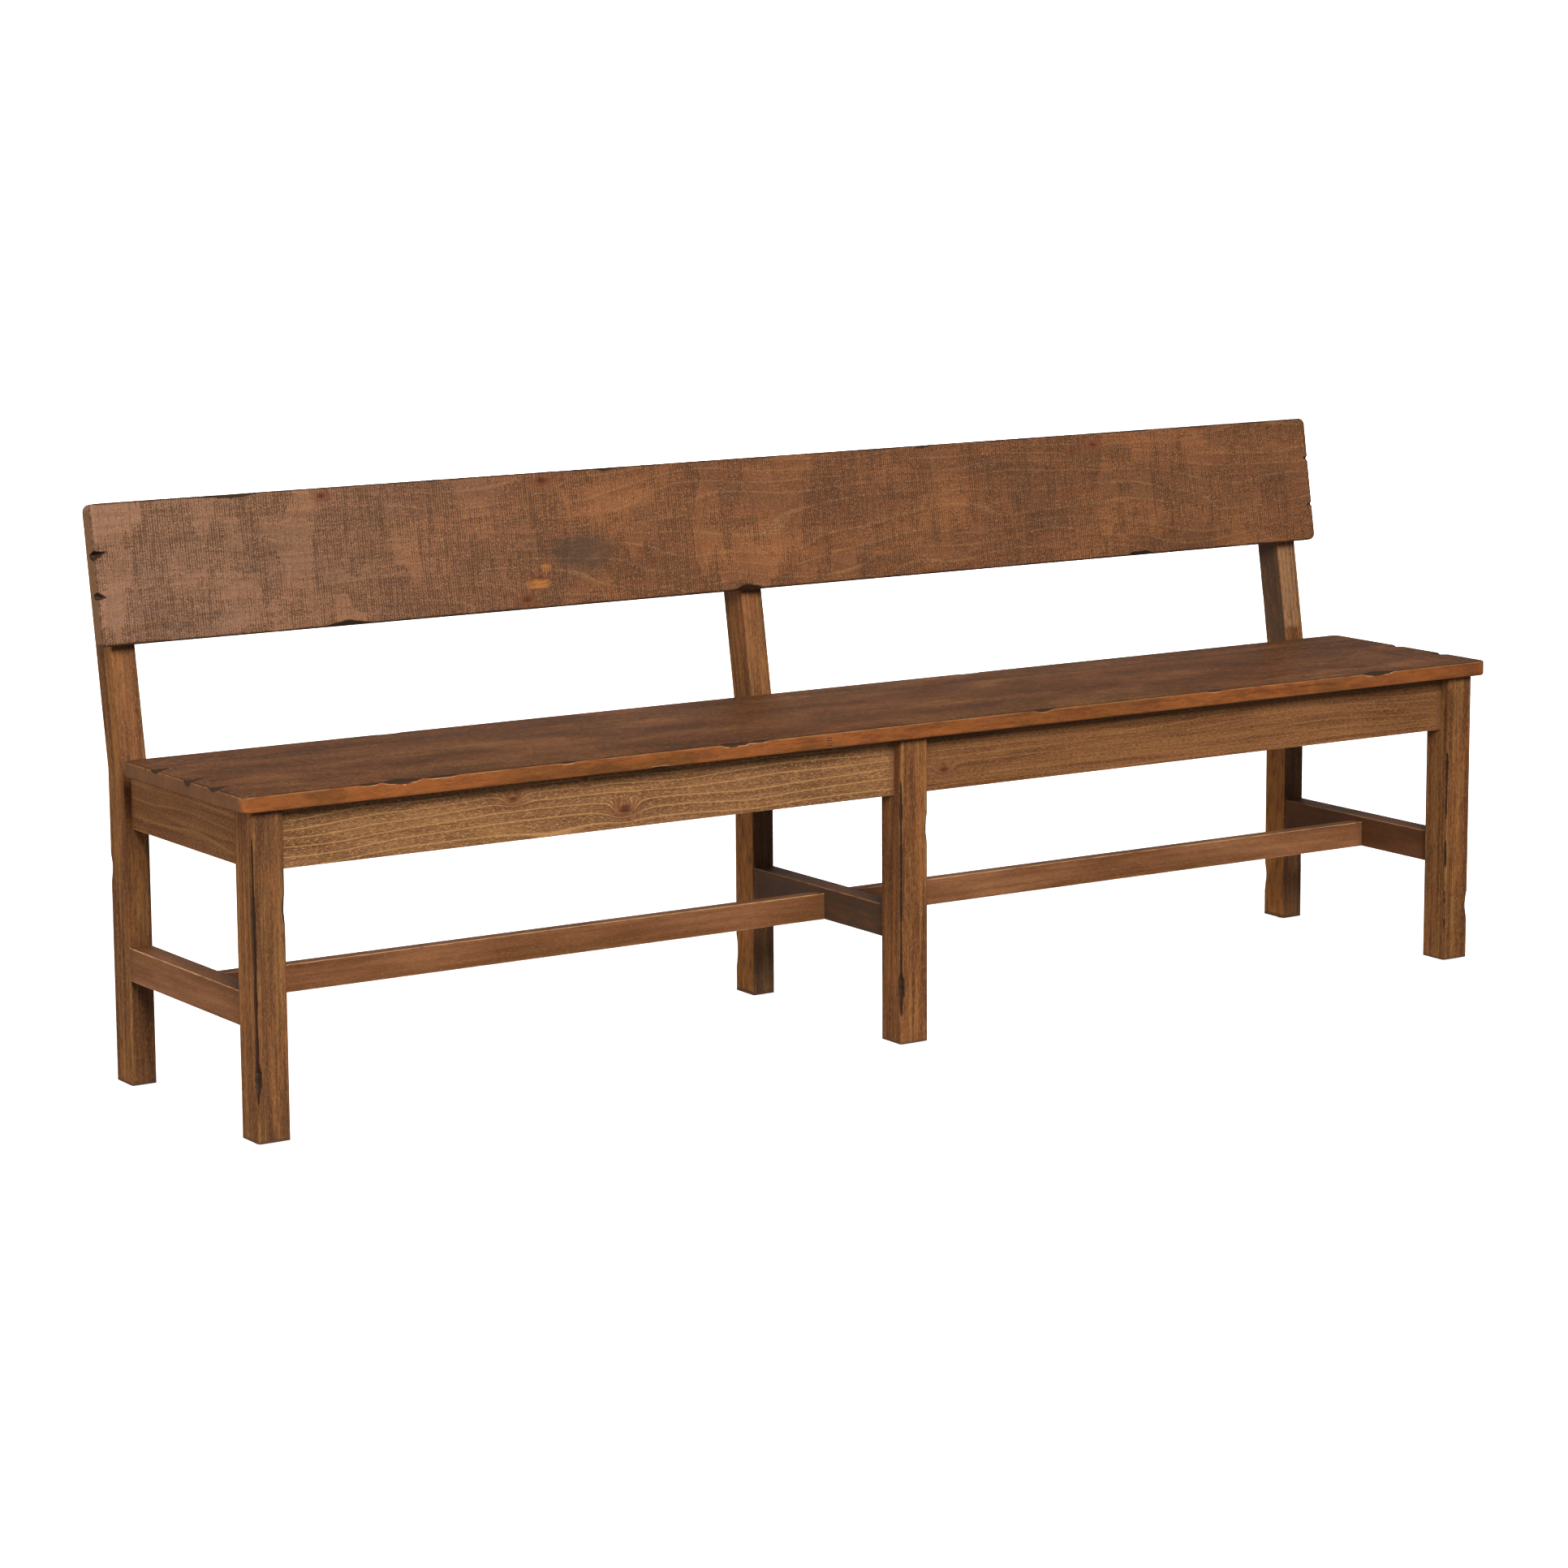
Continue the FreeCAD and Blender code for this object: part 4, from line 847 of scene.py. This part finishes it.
roundOver(blank, lambda e: runsAlong(e, 1), backBoard["cornerRadius"] * mm, backBoard["cornerSteps"])
roundOver(blank, lambda e: isSquareTo(e, 1), backBoard["edgeRadius"] * mm, backBoard["edgeSteps"])
wearTimber(blank, backBoard)
bmesh.ops.rotate(blank["bm"], verts=blank["bm"].verts, cent=(0, 0, 0), matrix=leaned)
finishPiece(blank, "backBoard", backBoard, backPine)
print("back board made")

# Legs: three straight front ones and three rear ones that bend back at the seat
legSides = ("left", "middle", "right")
legRims = (0.8, 1.6, 2.4, 3.2, 4.2, 5.6, 7.5, 10)
footShade = {"height": 5, "depth": 1.3}  # painted shade at the feet, where they meet the floor
footShading = [(side, 0, footShade["height"], footShade["depth"]) for side in ("x-", "x+", "y-", "y+")]
frontLeg = {
    "slot": "leg_pine", "runs": "zxy", "edgeRadius": 3, "edgeSteps": 3, "pitch": 5, "field": 9,
    "rimLines": legRims, "wear": 1.5,
    "bites": {"left": (88, 72, 6.5), "middle": (84, 66, 6.5), "right": (300, 66, 3.8)},
    "dents": {"left": (305, 62, 5), "middle": (306, 62, 5), "right": (84, 60, 5)},
    "shakes": {"left": (25, 425, 3.0), "middle": (8, 410, 2.7), "right": (6, 340, 2.2)},
    # the front of the left front leg is drawn darker: painted shade
    "paintedShading": {"left": [("y-", 0, 440, 0.45)], "middle": [], "right": []},
}
for i, side in enumerate(legSides):
    node = f"front_leg_{side}"
    low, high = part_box(node)
    spec = dict(frontLeg, node=node, figure=(1.7 * i + 0.3, 0.11 * i, 0.07 * i))
    spec["gouges"] = [("x-y-", *frontLeg["bites"][side])]
    spec["chips"] = [("x+y-", *frontLeg["dents"][side])]
    spec["cracks"] = [("x-y-", *frontLeg["shakes"][side])]
    spec["dims"] = frontLeg["paintedShading"][side] + footShading
    blank = sawBlank(low, high, spec["runs"])
    roundOver(blank, lambda e: runsAlong(e, 2), spec["edgeRadius"] * mm, spec["edgeSteps"])
    wearTimber(blank, spec)
    finishPiece(blank, f"frontLeg_{side}", spec, legPine)

rearLeg = {
    "slot": "leg_pine", "runs": "zxy", "edgeRadius": 2, "edgeSteps": 3, "pitch": 6, "field": 9,
    "rimLines": legRims, "wear": 1.5, "bend": 435, "lean": 9.6, "depth": 48,
    "bores": (210, 310), "boreWidth": 11, "boreDepth": 14, "boreMargin": 1, "boreLip": 0.6, "boreCuts": 5,
    "dents": {"left": (295, 60, 5), "middle": (64, 60, 5), "right": (64, 60, 4)},
    # painted shade and painted light on faces of the rear legs
    "tints": {
        # left: painted shade on its front under the seat
        "left": {"dims": [("y-", 0, 430, 0.4)]},
        # middle: painted shade on its front, and painted light on its left face under the seat
        "middle": {"dims": [("y-", 0, 430, 0.75), ("y-", 440, 800, 0.35), ("x-", 0, 435, -0.65)]},
        # right: its upper left face darker, partly its own stain and partly painted shade; painted shade on
        # its front and painted light on its left face under the seat; painted light on its front above the
        # seat
        "right": {
            "dims": [("x-", 445, 800, 1.0), ("y-", 0, 430, 0.6), ("x-", 0, 435, -0.75)],
            "warmFace": "y-", "warmFrom": 470,
        },
    },
}


def boreBack(blank, rise, spec):  # round counterbore in the back of a post
    bm = blank["bm"]
    centre = Vector(((blank["low"].x + blank["high"].x) / 2, blank["high"].y, (spec["bend"] + rise) * mm))
    radius = spec["boreWidth"] / 2 * mm
    half = radius + spec["boreMargin"] * mm
    zone = zoneOf(blank, {1: (centre.y - mm, centre.y + mm)})
    cutAcross(blank, 0, [centre.x - half, centre.x + half], zone)
    cutAcross(blank, 2, [centre.z - half, centre.z + half])
    face = min(bm.faces, key=lambda f: (f.calc_center_median() - centre).length)
    bmesh.ops.subdivide_edges(bm, edges=face.edges[:], cuts=spec["boreCuts"])
    bmesh.ops.inset_individual(bm, faces=[face], thickness=spec["boreLip"] * mm, use_even_offset=True)
    for vert in face.verts:
        vert.co = centre + (vert.co - centre).normalized() * radius
    boreEnd = bmesh.ops.extrude_discrete_faces(bm, faces=[face])["faces"][0]
    bmesh.ops.translate(bm, verts=boreEnd.verts[:], vec=(0, -spec["boreDepth"] * mm, 0))


lean = math.radians(rearLeg["lean"])
bend = rearLeg["bend"] * mm
turnBack = Matrix.Rotation(-lean, 3, "X")
for i, side in enumerate(legSides):
    node = f"rear_leg_{side}"
    low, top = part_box(node)
    postLength = (top.z - bend) / math.cos(lean)
    high = Vector((top.x, low.y + rearLeg["depth"] * mm, bend + postLength))
    spec = dict(rearLeg, node=node, figure=(1.3 * i + 7.1, 0.13 * i + 0.5, 0.09 * i), breaks=[bend])
    spec["chips"] = [("x-y+", *rearLeg["dents"][side])]
    spec.update(rearLeg["tints"][side])
    spec["dims"] = spec["dims"] + footShading
    blank = sawBlank(low, high, spec["runs"])
    roundOver(blank, lambda e: runsAlong(e, 2), spec["edgeRadius"] * mm, spec["edgeSteps"])
    half = spec["boreWidth"] / 2 + spec["boreMargin"]
    for rise in spec["bores"]:
        boreBack(blank, rise, spec)
        spec["breaks"] += [bend + (rise - half) * mm, bend + (rise + half) * mm]
    wearTimber(blank, spec)
    upper = [v for v in blank["bm"].verts if v.co.z > bend + mm]
    for vert in blank["bm"].verts:  # mitre line of the bend
        if abs(vert.co.z - bend) < sameLevel:
            vert.co.z -= (vert.co.y - low.y) * math.tan(lean / 2)
    bmesh.ops.rotate(blank["bm"], verts=upper, cent=(0, low.y, bend), matrix=turnBack)
    finishPiece(blank, f"rearLeg_{side}", spec, legPine)
print("legs made")

# Aprons, rails and stretchers; knots and painted shade are those of single ones
railShape = {
    "slot": "rail_pine", "edgeRadius": 1.5, "edgeSteps": 2, "pitch": 12, "field": 6,
    "rimLines": (0.8, 1.6, 2.6, 4, 6), "wear": 1.0,
    "knots": {
        "frontApron_left": [(-628, 410, 9), (-457, 379, 12), (-517, 420, 5)],
        "frontApron_right": [(62, 382, 9)],
    },
    # the left face of the middle cross stretcher is drawn darker: painted shade
    "dims": {"crossStretcher_middle": [("x-", -300, 300, 0.9)]},
}
rails = {  # node, axes, material and shift of the figure
    "frontApron_left": ("front_apron_left", "xzy", apronPine, (2.0, 0.02, 0.0)),
    "frontApron_right": ("front_apron_right", "xzy", redApronPine, (5.0, 0.3, 0.1)),
    "rearRail_left": ("rear_rail_left", "xzy", apronPine, (9.0, 0.6, 0.2)),
    "rearRail_right": ("rear_rail_right", "xzy", apronPine, (12.0, 0.9, 0.3)),
    "sideApron_left": ("side_apron_left", "yzx", redApronPine, (15.0, 0.15, 0.4)),
    "sideApron_right": ("side_apron_right", "yzx", redApronPine, (17.0, 0.25, 0.5)),
    "middleCrossRail": ("middle_cross_rail", "yzx", apronPine, (19.0, 0.35, 0.6)),
    "crossStretcher_left": ("cross_stretcher_left", "yzx", stretcherPine, (21.0, 0.45, 0.7)),
    "crossStretcher_middle": ("cross_stretcher_middle", "yzx", shadedStretcherPine, (23.0, 0.55, 0.8)),
    "crossStretcher_right": ("cross_stretcher_right", "yzx", shadedStretcherPine, (25.0, 0.65, 0.9)),
    "longStretcher_left": ("long_stretcher_left", "xzy", stretcherPine, (27.0, 0.75, 1.0)),
    "longStretcher_right": ("long_stretcher_right", "xzy", stretcherPine, (31.0, 0.85, 1.1)),
}
for name, (node, runs, pine, figure) in rails.items():
    spec = dict(railShape, node=node, figure=figure)
    spec["shaded"] = [runs[0] + sign for sign in "-+"]  # their ends are butted, so not worn
    spec["knots"] = railShape["knots"].get(name, [])
    spec["dims"] = railShape["dims"].get(name, [])
    low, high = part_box(node)
    blank = sawBlank(low, high, runs)
    roundOver(blank, lambda e: runsAlong(e, blank["runs"][0]), spec["edgeRadius"] * mm, spec["edgeSteps"])
    wearTimber(blank, spec)
    finishPiece(blank, name, spec, pine)
print("rails made")

# Stage: floor, lights and the camera of the photograph
stageSet = {
    "floorSize": 60, "sweepHeight": 25, "floorTone": "#ffffff", "floorGlow": 0.95, "ambient": 0.25,
    "lights": [  # place, aim, size in metres, power in watts, and whether gloss shows it
        ((-2.2, -6.6, 4.7), (0, 0, 0.4), 3.0, 930, True),
        ((-8.5, -0.3, 0.8), (0, 0.1, 0.4), 2.0, 390, False),
        ((4.5, 7.5, 2.6), (0, 0, 0.4), 3.0, 520, False),
    ],
    "camera": (-3.562, -5.3615, 1.4443), "yaw": 33.1545, "pitch": 9.76, "roll": -0.3482,
    "lens": 105.167, "sensor": 36, "sight": 200,
}
bm = bmesh.new()
bmesh.ops.create_grid(bm, x_segments=2, y_segments=2, size=stageSet["floorSize"] / 2)
rim = bmesh.ops.extrude_edge_only(bm, edges=[e for e in bm.edges if e.is_boundary])["geom"]
rimVerts = [g for g in rim if isinstance(g, bmesh.types.BMVert)]
bmesh.ops.translate(bm, verts=rimVerts, vec=(0, 0, stageSet["sweepHeight"]))
floorMesh = bpy.data.meshes.new("floor")
bm.to_mesh(floorMesh)
bm.free()
floor = bpy.data.objects.new("floor", floorMesh)
scene.collection.objects.link(floor)
material, tree, shader = newMaterial("paper white sweep")  # seamless white paper, overlit as in a studio
feed(tree, shader, {"Base Color": linearColour(stageSet["floorTone"])})
feed(tree, shader, {"Roughness": 1, "Specular IOR Level": 0})
feed(tree, shader, {"Emission Color": (1, 1, 1, 1), "Emission Strength": stageSet["floorGlow"]})
floorMesh.materials.append(material)
floor.visible_diffuse = False
floor.visible_glossy = False
floor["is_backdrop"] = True

for i, (place, aim, size, power, inGloss) in enumerate(stageSet["lights"]):
    lamp = bpy.data.lights.new(f"softbox{i}", "AREA")
    lamp.shape = "SQUARE"
    lamp.size = size
    lamp.energy = power
    softbox = bpy.data.objects.new(f"softbox{i}", lamp)
    softbox.location = place
    softbox.visible_glossy = inGloss
    softbox.rotation_euler = (Vector(aim) - Vector(place)).to_track_quat("-Z", "Y").to_euler()
    scene.collection.objects.link(softbox)
world = bpy.data.worlds.new("studio")
world.use_nodes = True
scene.world = world
sky = world.node_tree.nodes["Background"]
feed(world.node_tree, sky, {"Color": (1, 1, 1, 1), "Strength": stageSet["ambient"]})

lens = bpy.data.cameras.new("camera")
lens.lens = stageSet["lens"]
lens.sensor_width = stageSet["sensor"]
lens.clip_end = stageSet["sight"]
camera = bpy.data.objects.new("camera", lens)
turn = Matrix.Rotation(math.radians(-stageSet["yaw"]), 4, "Z")
turn = turn @ Matrix.Rotation(math.radians(90 - stageSet["pitch"]), 4, "X")
turn = turn @ Matrix.Rotation(math.radians(stageSet["roll"]), 4, "Z")
camera.matrix_world = Matrix.Translation(stageSet["camera"]) @ turn
scene.collection.objects.link(camera)
scene.camera = camera
scene.view_settings.view_transform = "Standard"
print("stage set")

triangles = {o.name: sum(len(p.vertices) - 2 for p in o.data.polygons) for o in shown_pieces()}
print("triangles:", sum(triangles.values()), "most:", max(triangles.items(), key=lambda row: row[1]))
